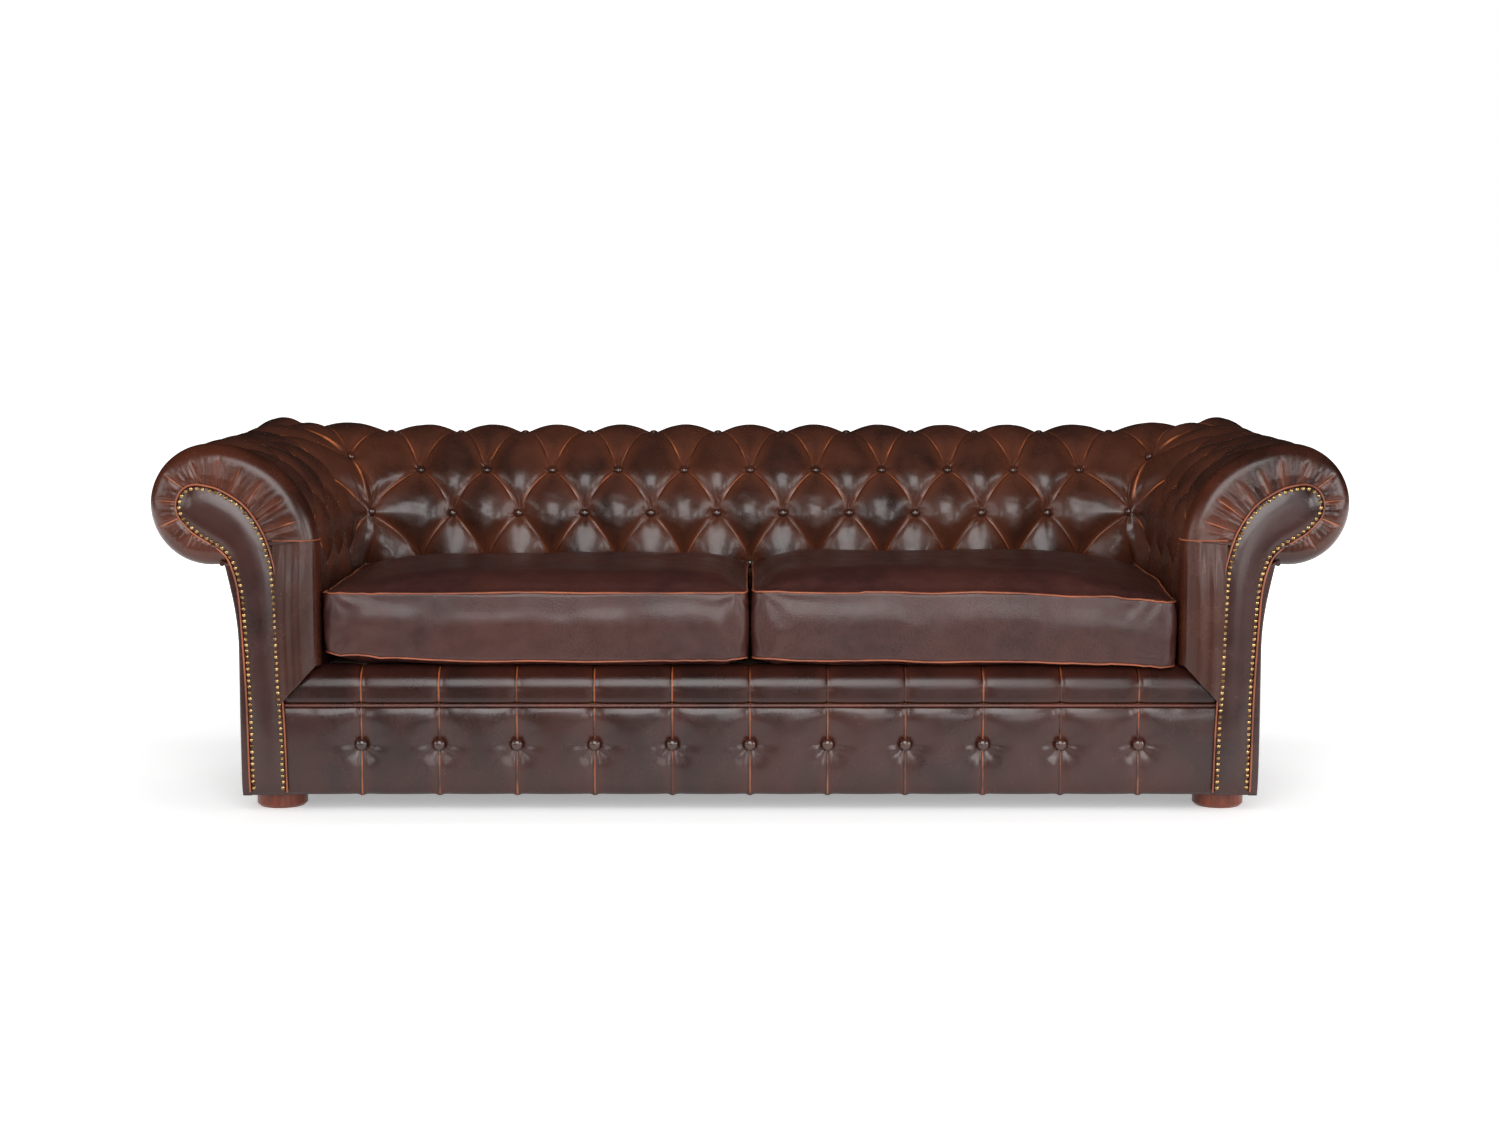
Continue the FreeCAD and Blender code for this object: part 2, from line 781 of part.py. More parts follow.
def front_roll():
    """The rounded, pleated end of an arm, before its pocket for the scroll board."""
    wires = []
    for depth_share, puff_share, pleat_share in FRONT_ROLL_STATION_SHARES:
        inset = size.front_roll_puff * puff_share
        wires.append(front_roll_section(depth_share, inset, size.front_pleat_depth * pleat_share))
    for depth_share, turn_share, pleat_share in FRONT_ROLL_TURN_SHARES:
        inset = size.front_roll_turn * turn_share
        wires.append(front_roll_section(depth_share, inset, size.front_pleat_depth * pleat_share))
    return ruled(wires)


pocket = scroll_plate(
    "RollPocket",
    "(scroll_board_inset - fit_gap)",
    "crease_from_front",
    "(stem_setback - fit_gap)",
    "seam_height",
    "(-fit_gap)",
)
onto_arm(pocket, f"{BOARD_FRONT} - fit_gap + crease_from_front")
pair(cut("FrontRollCut", solid("FrontRoll", front_roll()), pocket), "arm_front_rolls")


def arm_panel_section(rise_share):
    """A level or sloping section of the plain panel at the front of an arm."""
    rear = crease - size.fit_gap
    outer = size.stem_setback - size.fit_gap
    slope = (size.deck_top - lip_bottom + size.lip_channel_depth) / size.lip_mitre_width
    turn = size.arm_panel_round
    soft = size.front_roll_puff * PANEL_SOFT_SHARE

    def at(setback, along):
        """A point of the section, between the mitre over the lip and the seam."""
        low = lip_bottom + (size.stem_setback - setback) * slope + size.fit_gap
        top = size.seam_height - size.fit_gap
        return on_arm(along, setback, low + rise_share * (top - low))

    corner = turn * (1 - math.sqrt(0.5))
    middle = (rear + facing_back + turn) / 2
    return closed_wire(
        [
            at(outer, rear),
            at(soft, rear),
            (at(soft / 5, (rear + middle) / 2), at(0, middle)),
            at(0, facing_back + turn),
            (at(corner, facing_back + corner), at(turn, facing_back)),
            at(outer, facing_back),
        ]
    )


rail_clearance = board(
    "RailClearance",
    arm_band("-stem_setback", "2 * stem_setback"),
    (f"{FRONT_RAIL_FRONT} - fit_gap", f"{CREASE} + rail_thickness"),
    ("0", "seat_rail_top + fit_gap"),
)
arm_panel = solid("ArmFrontPanel", ruled([arm_panel_section(0.0), arm_panel_section(1.0)]))
pair(cut("FittedArmPanel", arm_panel, rail_clearance), "arm_front_panels")


def facing_point(shares):
    """A point of the facing's outline, on the back face of the facing."""
    across = size.shoulder_radius + size.roll_radius
    height = max(shares[1] * size.crest_height, size.foot_height)
    return on_arm(front + size.facing_thickness, shares[0] * across, height)


def facing():
    """The S-shaped facing that covers the front of an arm."""
    inner = [facing_point(shares) for shares in FACING_INNER_SHARES]
    head = [facing_point(shares) for shares in FACING_HEAD_SHARES]
    outer = [facing_point(shares) for shares in FACING_OUTER_SHARES]
    ring = [inner[0], inner[1], (inner[2], inner[3]), (head[0], head[1]), (head[2], head[3])]
    ring += [outer[0], (outer[1], outer[2]), outer[3]]
    face = Part.Face(closed_wire(ring))
    return face.extrude(Vector(0, -size.facing_thickness, 0))


sides(solid("Facing", facing()), "scroll_facing")


# Seat front: buttoned border, piping and rolled lip


def border_columns():
    """X of each pleat, and of each stretch between pleats, from one end to the other."""
    end = arm_face + size.stem_setback - size.fit_gap
    first = -(arm_face + size.stem_setback - size.border_end_margin - size.fit_gap)
    pitch = -2 * first / (BORDER_PLEATS - 1)
    columns = [(-end, False)]
    for number in range(BORDER_PLEATS):
        columns.append((first + number * pitch, True))
        if number < BORDER_PLEATS - 1:
            columns.append((first + (number + 0.5) * pitch, False))
    return columns + [(end, False)]


def border_section(x, pleated):
    """A section of the buttoned border, drawn in on a pleat and most of all at its button."""
    face = front + size.border_setback
    rear = face + size.border_pad_thickness
    drawn = size.border_pleat_depth if pleated else 0
    pit = size.border_button_pit if pleated else 0
    top = size.border_top - size.piping_diameter / 2 - size.fit_gap
    soft = size.border_pleat_depth
    bottom, button_height = size.foot_height, size.border_button_height

    def at(depth, height):
        """A point of the section."""
        return Vector(x, face + depth, height)

    return closed_wire(
        [
            Vector(x, rear, bottom),
            at(soft, bottom),
            (at(drawn, (bottom + button_height) / 2), at(pit, button_height)),
            (at(drawn, (top + button_height) / 2), at(soft, top)),
            Vector(x, rear, top),
        ]
    )


border = ruled([border_section(x, pleated) for x, pleated in border_columns()])
keep(solid("Border", border), "front_border_pad")


def border_buttons():
    """The covered buttons of the border, one on each pleat."""
    shapes = []
    for x, pleated in border_columns():
        if pleated:
            clear = size.fit_gap + size.border_button_radius * BUTTON_BASE_SHARE
            pit = front + size.border_setback + size.border_button_pit - clear
            shape = button(size.border_button_radius, size.border_button_pit, size.button_dome)
            foot = Vector(x, pit, size.border_button_height)
            outwards = Vector(0, -1, 0)
            shape.Placement = Placement(foot, Rotation(Vector(0, 0, 1), outwards))
            shapes.append(pressed_in(shape, border, outwards))
    return Part.makeCompound(shapes)


keep(solid("BorderButtons", border_buttons()), "front_border_buttons")

piping = document.addObject("Part::Cylinder", "BorderPiping")
piping.Placement = Placement(Vector(), Rotation(Vector(0, 0, 1), Vector(1, 0, 0)))
bind(
    piping,
    Radius="piping_diameter / 2",
    Height=f"2 * ({ARM_FACE} + stem_setback - fit_gap)",
    Placement__Base__x=f"-({ARM_FACE} + stem_setback - fit_gap)",
    Placement__Base__y=f"{BORDER_FRONT} + piping_diameter / 2",
    Placement__Base__z="border_top",
)
keep(piping, "front_border_piping")


def lip_section(x, pleated):
    """A section of the rolled lip over the front rail; its ends are mitred against the arms."""
    face = front + size.border_setback
    drawn = size.lip_channel_depth if pleated else 0
    rail_face = face + size.border_pad_thickness - size.fit_gap
    low, top = lip_bottom, size.deck_top
    over_webs = worked_out(WEB_TOP) + size.fit_gap
    turn = size.lip_round
    corner = turn * (1 - math.sqrt(0.5))
    rear = crease - size.fit_gap
    end = arm_face + size.stem_setback - size.fit_gap
    slope = size.lip_mitre_width / (top - low + size.lip_channel_depth)

    def at(along, height):
        """A point of the section, pulled in to the mitre at either end."""
        mitre = end - (height - low) * slope
        across = math.copysign(mitre, x) if abs(x) >= end else x
        return Vector(across, along, height)

    return closed_wire(
        [
            at(rail_face, low),
            at(face + drawn, low),
            at(face + drawn, top - turn),
            (at(face + corner + drawn, top - corner - drawn), at(face + turn, top - drawn)),
            at(rear, top - drawn),
            at(rear, over_webs),
            at(rail_face, over_webs),
        ]
    )


lip = ruled([lip_section(x, pleated) for x, pleated in border_columns()])
keep(solid("Lip", lip), "seat_lip_pad")


# Timber frame of the arms and the back

HOLE = "(roll_rail_side / 2 + fit_gap)"


def rib(name):
    """A plywood rib that carries the roll rail, notched over the lower outer rail."""
    inset, thick = RIB_INSET, "rib_thickness"
    stem = f"({SEAT_RAIL_OUT} + fit_gap)"
    plate = scroll_plate(name, inset, thick, stem, "(pad_bottom + fit_gap)", "fit_gap")
    rail_top = f"{FRAME_BOTTOM} + outer_rail_height + fit_gap"
    through = (f"-{thick}", f"2 * {thick}")
    lower = board(
        name + "RailNotch",
        (f"{OUTER_RAIL_IN} - fit_gap", SCROLL_WIDTH),
        through,
        ("0", rail_top),
    )
    hole = board(
        name + "RailHole",
        (f"shoulder_radius - {HOLE}", f"shoulder_radius + {HOLE}"),
        through,
        (f"{ROLL_CENTRE} - {HOLE}", f"{ROLL_CENTRE} + {HOLE}"),
    )
    tools = fuse(name + "Tools", [lower, hole])
    return cut(name, plate, tools)


arm_ribs = []
for number, share in enumerate(ARM_RIB_SHARES):
    item = rib(f"ArmRib{number}")
    arm_ribs.append(onto_arm(item, f"{CREASE} + ({BACK_FACE} - {CREASE}) * {share}"))
arm_rib_group = group("ArmRibs", arm_ribs)
sides(arm_rib_group, "arm_ribs")

back_ribs = []
for number, share in enumerate(BACK_RIB_SHARES):
    for side in (-1, 1):
        item = rib(f"BackRib{number}{'LR'[side > 0]}")
        place_x = f"{side * share} * {ARM_FACE} + rib_thickness / 2"
        back_ribs.append(onto_back(item, place_x))
keep(group("BackRibs", back_ribs), "back_ribs")

ROLL_RAIL = (
    "(shoulder_radius - roll_rail_side / 2)",
    "(shoulder_radius + roll_rail_side / 2)",
)
ROLL_RAIL_HEIGHT = (
    f"{ROLL_CENTRE} - roll_rail_side / 2",
    f"{ROLL_CENTRE} + roll_rail_side / 2",
)
arm_roll_rail = board(
    "ArmRollRail",
    arm_band(*ROLL_RAIL),
    (f"{BOARD_BACK} + fit_gap", f"{BACK_FACE} + {ROLL_RAIL[1]}"),
    ROLL_RAIL_HEIGHT,
)
sides(arm_roll_rail, "arm_roll_rail")
back_roll_rail = board(
    "BackRollRail",
    both_ways(f"{ARM_FACE} + {ROLL_RAIL[0]} - fit_gap"),
    back_band(*ROLL_RAIL),
    ROLL_RAIL_HEIGHT,
)
keep(back_roll_rail, "back_roll_rail")

TACK_RAIL = (f"({PANEL_INNER} + fit_gap)", "(tack_setback - fit_gap)")
TACK_HEIGHT = ("outer_panel_top + fit_gap", "outer_panel_top + fit_gap + tack_rail_height")
arm_tack_rail = board(
    "ArmTackRail",
    arm_band(*TACK_RAIL),
    (f"{CREASE} + fit_gap", f"{BACK_FACE} + {TACK_RAIL[1]}"),
    TACK_HEIGHT,
)
pair(arm_tack_rail, "arm_tack_rails")
back_tack_rail = board(
    "BackTackRail",
    both_ways(f"{ARM_FACE} + {TACK_RAIL[0]} - fit_gap"),
    back_band(*TACK_RAIL),
    TACK_HEIGHT,
)
keep(back_tack_rail, "back_tack_rail")


# Timber base

front_rail = board(
    "FrontRail",
    both_ways(f"{ARM_FACE} + stem_setback - fit_gap"),
    (FRONT_RAIL_FRONT, FRONT_RAIL_BACK),
    (FRAME_BOTTOM, "seat_rail_top"),
)
keep(front_rail, "front_rail")
seat_side_rail = board(
    "SeatSideRail",
    arm_band("pad_thickness", SEAT_RAIL_OUT),
    (f"{FRONT_RAIL_BACK} + fit_gap", f"{BACK_FACE} + {SEAT_RAIL_OUT}"),
    (FRAME_BOTTOM, "seat_rail_top"),
)
pair(seat_side_rail, "seat_side_rails")
rear_rail = board(
    "RearRail",
    both_ways(f"{ARM_FACE} + pad_thickness - fit_gap"),
    back_band("pad_thickness", SEAT_RAIL_OUT),
    (FRAME_BOTTOM, "seat_rail_top"),
)
keep(rear_rail, "rear_rail")

OUTER_RAIL = (OUTER_RAIL_IN, PANEL_INNER)
OUTER_RAIL_RISE = (FRAME_BOTTOM, f"{FRAME_BOTTOM} + outer_rail_height")
lower_side_rail = board(
    "LowerSideRail",
    arm_band(*OUTER_RAIL),
    (f"{BOARD_BACK} + fit_gap", f"{BACK_FACE} + {PANEL_INNER}"),
    OUTER_RAIL_RISE,
)
pair(lower_side_rail, "lower_side_rails")
lower_back_rail = board(
    "LowerBackRail",
    both_ways(f"{ARM_FACE} + {OUTER_RAIL_IN} - fit_gap"),
    back_band(*OUTER_RAIL),
    OUTER_RAIL_RISE,
)
keep(lower_back_rail, "lower_back_rail")

stretcher = board(
    "Stretcher",
    ("-stretcher_offset - stretcher_width / 2", "-stretcher_offset + stretcher_width / 2"),
    (f"{FRONT_RAIL_BACK} + fit_gap", f"{BACK_FACE} + pad_thickness - fit_gap"),
    (FRAME_BOTTOM, f"{FRAME_BOTTOM} + stretcher_height"),
)
pair(stretcher, "seat_stretchers")

POST = (f"({SEAT_RAIL_OUT} + fit_gap)", f"({SEAT_RAIL_OUT} + fit_gap + post_side)")
post_outer = f"({OUTER_RAIL_IN} - fit_gap)"
post = board(
    "CornerPost",
    arm_band(POST[0], post_outer),
    back_band(POST[0], post_outer),
    (FRAME_BOTTOM, SPRING),
)
pair(post, "rear_corner_posts")

BLOCK = arm_band(f"({SEAT_RAIL_OUT} + fit_gap)", f"({OUTER_RAIL_IN} - fit_gap)")
BLOCK_RISE = (FRAME_BOTTOM, f"{FRAME_BOTTOM} + block_height")
front_block = board(
    "FrontBlock",
    BLOCK,
    (f"{BOARD_BACK} + fit_gap", f"{BOARD_BACK} + fit_gap + block_length"),
    BLOCK_RISE,
)
rear_block = board(
    "RearBlock",
    BLOCK,
    (f"{BACK_FACE} + {SEAT_RAIL_OUT} - block_length", f"{BACK_FACE} + {SEAT_RAIL_OUT}"),
    BLOCK_RISE,
)
FOOT_X = f"-({ARM_FACE} + foot_setback)"
FRONT_FOOT_Y = f"{FRONT} + foot_from_front"
REAR_FOOT_Y = f"{BACK_FACE} + outer_setback - foot_from_back"


def bolt(name, y, gap):
    """A plain hanger bolt from a foot up into its block, or the hole for one."""
    item = document.addObject("Part::Cylinder", name)
    bind(
        item,
        Radius=f"bolt_diameter / 2 + {gap}",
        Height=f"bolt_in_foot + bolt_in_block + 2 * {gap}",
        Placement__Base__x=FOOT_X,
        Placement__Base__y=y,
        Placement__Base__z=f"foot_height - bolt_in_foot - {gap}",
    )
    return item


bolts = [bolt("FrontBolt", FRONT_FOOT_Y, "0"), bolt("RearBolt", REAR_FOOT_Y, "0")]
bolts += [mirror(item, item.Name + "Other") for item in bolts]
keep(group("FootBolts", bolts), "foot_bolts")

drilled_front = cut("DrilledFrontBlock", front_block, bolt("FrontHole", FRONT_FOOT_Y, "bolt_gap"))
drilled_rear = cut("DrilledRearBlock", rear_block, bolt("RearHole", REAR_FOOT_Y, "bolt_gap"))
blocks = [drilled_front, drilled_rear]
blocks += [mirror(item, item.Name + "Other") for item in blocks]
keep(group("CornerBlocks", blocks), "corner_blocks")

dust_sheet = board(
    "DustSheet",
    both_ways(f"{ARM_FACE} + {PANEL_INNER}"),
    (FRONT_RAIL_FRONT, f"{BACK_FACE} + {PANEL_INNER}"),
    ("foot_height", FRAME_BOTTOM),
)
holes = [bolt("FrontPass", FRONT_FOOT_Y, "bolt_gap"), bolt("RearPass", REAR_FOOT_Y, "bolt_gap")]
holes += [mirror(item, item.Name + "Other") for item in holes]
keep(cut("DustCover", dust_sheet, fuse("BoltPasses", holes)), "dust_cover")


# Turned feet


def foot(name, y):
    """A turned foot: a short drum with its lower edge rounded, bored for its bolt."""
    body = document.addObject("PartDesign::Body", name + "Body")
    plane = [p for p in body.Origin.OriginFeatures if p.Role == "XZ_Plane"][0]
    sketch = body.newObject("Sketcher::SketchObject", name + "Profile")
    sketch.AttachmentSupport = [(plane, "")]
    sketch.MapMode = "FlatFace"
    radius, height = size.foot_diameter / 2, size.foot_height
    bore, deep = size.bolt_diameter / 2 + size.bolt_gap, size.bolt_in_foot + size.bolt_gap
    corners = [(0, 0), (radius, 0), (radius, height), (bore, height)]
    corners += [(bore, height - deep), (0, height - deep)]
    for start, end in zip(corners, corners[1:] + corners[:1]):
        sketch.addGeometry(Part.LineSegment(Vector(*start, 0), Vector(*end, 0)), False)
    count = len(corners)
    for number in range(count):
        after = (number + 1) % count
        sketch.addConstraint(Sketcher.Constraint("Coincident", number, 2, after, 1))
        kind = "Horizontal" if number % 2 == 0 else "Vertical"
        sketch.addConstraint(Sketcher.Constraint(kind, number))
    sketch.addConstraint(Sketcher.Constraint("Coincident", 0, 1, -1, 1))
    sized = (
        ("DistanceX", 0, radius, "foot_diameter / 2"),
        ("DistanceY", 1, height, "foot_height"),
        ("DistanceX", 4, -bore, "-(bolt_diameter / 2 + bolt_gap)"),
        ("DistanceY", 5, deep - height, "-(foot_height - bolt_in_foot - bolt_gap)"),
    )
    for kind, line, value, text in sized:
        number = sketch.addConstraint(Sketcher.Constraint(kind, line, 1, line, 2, value))
        sketch.setExpression(f"Constraints[{number}]", formula(text))
    turned = body.newObject("PartDesign::Revolution", name + "Turned")
    turned.Profile = sketch
    turned.ReferenceAxis = (sketch, ["V_Axis"])
    turned.Angle = 360
    document.recompute()
    rim = [
        f"Edge{number}"
        for number, edge in enumerate(turned.Shape.Edges, start=1)
        if abs(edge.BoundBox.ZMax) < size.fit_gap and edge.BoundBox.XLength > size.foot_diameter / 2
    ]
    rounded = body.newObject("PartDesign::Chamfer", name + "Eased")
    rounded.Base = (turned, rim)
    bind(rounded, Size="foot_round")
    body.Tip = rounded
    return bind(body, Placement__Base__x=FOOT_X, Placement__Base__y=y)


pair(foot("FrontFoot", FRONT_FOOT_Y), "front_feet")
pair(foot("RearFoot", REAR_FOOT_Y), "rear_feet")


# Seat platform

SPAN = f"({ARM_FACE} + pad_thickness + rail_thickness / 2)"
lengthwise = []
for number in range(LENGTHWISE_WEBS):
    centre = f"{2 * (number + 0.5) / LENGTHWISE_WEBS - 1} * {ARM_FACE}"
    strap = board(
        f"LengthwiseWeb{number}",
        (f"{centre} - web_width / 2", f"{centre} + web_width / 2"),
        (f"{FRONT_RAIL_BACK} - rail_thickness * {TACKED_SHARE}", f"{BACK_FACE} + {SEAT_RAIL_OUT}"),
        ("seat_rail_top", "seat_rail_top + web_thickness"),
    )
    lengthwise.append(strap)
keep(group("LengthwiseWebs", lengthwise), "seat_webbing_lengthwise")

crosswise = []
for number in range(CROSSWISE_WEBS):
    share = (number + 0.5) / CROSSWISE_WEBS
    centre = f"{LIP_BACK} + {share} * ({BACK_FACE} - {LIP_BACK})"
    strap = board(
        f"CrosswiseWeb{number}",
        both_ways(SPAN),
        (f"{centre} - web_width / 2", f"{centre} + web_width / 2"),
        ("seat_rail_top + web_thickness", WEB_TOP),
    )
    crosswise.append(strap)
keep(group("CrosswiseWebs", crosswise), "seat_webbing_crosswise")

DECK_X = both_ways(f"{ARM_FACE} - deck_gap")
DECK_Y = (f"{LIP_BACK} + fit_gap", f"{BACK_FACE} - deck_gap")
INSULATOR_TOP = f"({WEB_TOP} + insulator_thickness)"
CLOTH_BOTTOM = "(deck_top - deck_cloth_thickness)"
insulator = board("Insulator", DECK_X, DECK_Y, (WEB_TOP, INSULATOR_TOP))
keep(insulator, "seat_insulator_felt")
deck_foam = board("DeckFoam", DECK_X, DECK_Y, (INSULATOR_TOP, CLOTH_BOTTOM))
keep(deck_foam, "seat_deck_foam")
deck_cloth = board("DeckCloth", DECK_X, DECK_Y, (CLOTH_BOTTOM, "deck_top"))
keep(deck_cloth, "seat_deck_cloth")


# Loose seat cushions


def rounding(distance, radius):
    """How far a rounded corner is cut back at a distance from its end."""
    short = max(0.0, radius - distance)
    return radius - math.sqrt(radius**2 - short**2)


def cushion_stations(half):
    """Distances of the sections from the middle: close together where corners are rounded."""
    front_turn, rear_turn = size.cushion_corner, size.cushion_rear_corner
    quick = 1 - math.sqrt(0.5)
    inner_end = [0.0, quick * front_turn, front_turn]
    outer_end = [0.0, quick * front_turn, front_turn, rear_turn]
    stations = [half - distance for distance in inner_end] + [half / 2, 0.0, -half / 2]
    return stations + [distance - half for distance in reversed(outer_end)]


def bowed(start, end, rise, steps):
    """Points from one place to another along a bow that rises by this much, less the first."""
    points = []
    for step in range(1, steps + 1):
        share = step / steps
        points.append((start + (end - start) * share + rise * (4 * share * (1 - share)), 0.0))
    return points


def blend(end_share, swell):
    """A share that grows from its value at the end of a cushion to 1 in the middle."""
    return end_share + (1 - end_share) * swell


def cushion_solid(shrink):
    """A crowned box cushion, its sides drawn in between full corners, or its hollow."""
    half = (arm_face - 1.5 * size.cushion_gap) / 2
    centre = -(half + size.cushion_gap / 2)
    low = size.deck_top + size.fit_gap
    rings = []
    for across in cushion_stations(half):
        swell = 1 - (across / half) ** 2
        x = centre + across * (half - shrink) / half
        end_distance = half - abs(across)
        turn = size.cushion_rear_corner if across < 0 else size.cushion_corner
        drawn = size.cushion_draw_in * swell
        face = front + size.cushion_front_reveal + drawn
        rear = back_face - size.cushion_back_gap - drawn
        face += rounding(end_distance, size.cushion_corner) + shrink
        rear -= rounding(end_distance, turn) + shrink
        lift = size.cushion_lift * (1 - CUSHION_SAG_SHARE * swell)
        top, edge = size.cushion_edge_height - shrink, low + lift + shrink
        crown = size.cushion_crown * blend(CUSHION_END_CROWN_SHARE, swell)
        bulge = size.cushion_face_bulge * blend(CUSHION_END_BULGE_SHARE, swell)
        corners = [Vector(x, face, edge), Vector(x, face, top), Vector(x, rear, top)]
        corners.append(Vector(x, rear, edge))
        ring = bowed(corners[0], corners[1], Vector(0, -bulge, 0), EDGE_STEPS)
        ring += bowed(corners[1], corners[2], Vector(0, 0, crown), CROWN_STEPS)
        ring += bowed(corners[2], corners[3], Vector(0, bulge * CUSHION_REAR_BULGE_SHARE, 0), EDGE_STEPS)
        ring += bowed(corners[3], corners[0], Vector(0, 0, -lift * swell), CROWN_STEPS)
        rings.append(ring)
    return faceted(rings)


cushion_skin = solid("CushionSkin", cushion_solid(0))
cushion_hollow = solid("CushionHollow", cushion_solid(size.cover_thickness))
sides(cut("CushionCover", cushion_skin, cushion_hollow), "cushion_cover")
sides(
    solid("CushionCore", cushion_solid(size.cover_thickness + size.fit_gap)),
    "cushion_core",
)


# Checks, and one file for each sub-part

document.recompute()
for item in document.Objects:
    if "Invalid" in item.State or "Error" in item.State:
        raise RuntimeError(f"{item.Label} failed: {item.State}")
names = [item.Label for item in kept]
if len(names) != len(set(names)):
    raise RuntimeError("two sub-parts have the same name")
os.makedirs("parts", exist_ok=True)
for item in kept:
    if item.Shape.isNull() or not item.Shape.isValid() or not item.Shape.Solids:
        raise RuntimeError(f"{item.Label} has no sound solid")
    item.Shape.exportStep(f"parts/{item.Label}.step")
print(len(kept), "sub-parts written")
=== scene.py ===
"""A deep-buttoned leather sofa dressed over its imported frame: upholstery, buttons, nails and piping."""

from __future__ import annotations

import logging
import math
from dataclasses import asdict, dataclass, fields
from enum import Enum
from typing import Callable, Iterable, Sequence

import bmesh
import bpy
import numpy as np
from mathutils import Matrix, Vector
from mathutils.bvhtree import BVHTree
from mathutils.geometry import delaunay_2d_cdt


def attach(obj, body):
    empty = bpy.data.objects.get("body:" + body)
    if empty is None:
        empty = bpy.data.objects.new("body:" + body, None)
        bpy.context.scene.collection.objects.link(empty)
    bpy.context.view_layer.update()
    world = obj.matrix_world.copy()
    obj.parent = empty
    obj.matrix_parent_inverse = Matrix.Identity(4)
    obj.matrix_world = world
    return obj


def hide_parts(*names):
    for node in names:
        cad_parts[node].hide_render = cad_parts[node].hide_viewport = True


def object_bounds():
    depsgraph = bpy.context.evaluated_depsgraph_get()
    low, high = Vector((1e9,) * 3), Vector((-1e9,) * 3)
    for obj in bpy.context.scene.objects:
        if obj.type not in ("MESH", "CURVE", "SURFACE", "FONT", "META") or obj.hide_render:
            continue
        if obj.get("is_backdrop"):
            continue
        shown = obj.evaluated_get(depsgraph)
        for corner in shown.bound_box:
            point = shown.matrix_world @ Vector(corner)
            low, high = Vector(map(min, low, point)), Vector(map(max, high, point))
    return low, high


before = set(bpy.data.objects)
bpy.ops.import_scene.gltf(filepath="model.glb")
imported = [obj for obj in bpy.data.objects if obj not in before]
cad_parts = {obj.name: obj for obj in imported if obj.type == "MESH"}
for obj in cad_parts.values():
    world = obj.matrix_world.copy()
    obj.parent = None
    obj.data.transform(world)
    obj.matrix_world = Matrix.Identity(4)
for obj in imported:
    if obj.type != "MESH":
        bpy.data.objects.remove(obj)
CAD_BOX = [list(corner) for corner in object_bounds()]
log = logging.getLogger("sofa")

PATTERN_MAP = "pattern"
REACH = "pleat_reach"
FACING = "outward"
OFF_PLEATS = 0.5
SHEET_THICKNESS = 0.003
FORWARD = np.array((0.0, -1.0, 0.0))

Array = np.ndarray
Material = bpy.types.Material
Mesh = bpy.types.Mesh
Node = bpy.types.Node
NodeTree = bpy.types.NodeTree
Piece = bpy.types.Object
Socket = bpy.types.NodeSocket
Colour = tuple[float, float, float]
Heads = list[tuple[Array, Array]]
Place = Callable[[Array, Array, Array], Array]


class Side(Enum):
    """The side of the sofa, seen from the front, with the sign of its X."""

    LEFT = -1
    RIGHT = 1

    @property
    def suffix(self) -> str:
        """The ending of the side's node names."""
        return self.name.lower()


class Body(Enum):
    """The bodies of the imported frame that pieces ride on."""

    FRAME = "frame"
    CUSHION_LEFT = "cushion_left"
    CUSHION_RIGHT = "cushion_right"


# Meshes


def new_object(name: str, mesh: Mesh) -> Piece:
    """Links a mesh to the scene as an object.

    Args:
        name: The piece's name.
        mesh: Its mesh.

    Returns:
        The new object.
    """
    piece = bpy.data.objects.new(name, mesh)
    bpy.context.scene.collection.objects.link(piece)
    return piece


def new_mesh(name: str, points: Array, faces: Sequence[Sequence[int]]) -> Mesh:
    """Makes a smooth mesh from points and faces.

    Args:
        name: The mesh's name.
        points: One row of X, Y and Z for each vertex.
        faces: The vertex numbers of each face.

    Returns:
        The mesh.
    """
    mesh = bpy.data.meshes.new(name)
    mesh.from_pydata(np.asarray(points, float).tolist(), [], [list(face) for face in faces])
    mesh.update()
    mesh.polygons.foreach_set("use_smooth", [True] * len(mesh.polygons))
    return mesh


def set_pattern(mesh: Mesh, phases: Array | None, reach: Array | None) -> None:
    """Stores where a mesh lies on the pleat pattern, and how strongly the pleats show.

    Args:
        mesh: The mesh to mark.
        phases: Two phases for each vertex, whole on a pleat, or None for leather with no pleats.
        reach: One strength for each vertex, or None for full strength.
    """
    count = len(mesh.vertices)
    if phases is None:
        phases = np.full((count, 2), OFF_PLEATS)
    if reach is None:
        reach = np.ones(count)
    loops = np.zeros(len(mesh.loops), np.int64)
    mesh.loops.foreach_get("vertex_index", loops)
    layer = mesh.uv_layers.new(name=PATTERN_MAP)
    layer.data.foreach_set("uv", np.asarray(phases, np.float32)[loops].ravel())
    strength = mesh.attributes.new(REACH, "FLOAT", "POINT")
    strength.data.foreach_set("value", np.asarray(reach, np.float32))


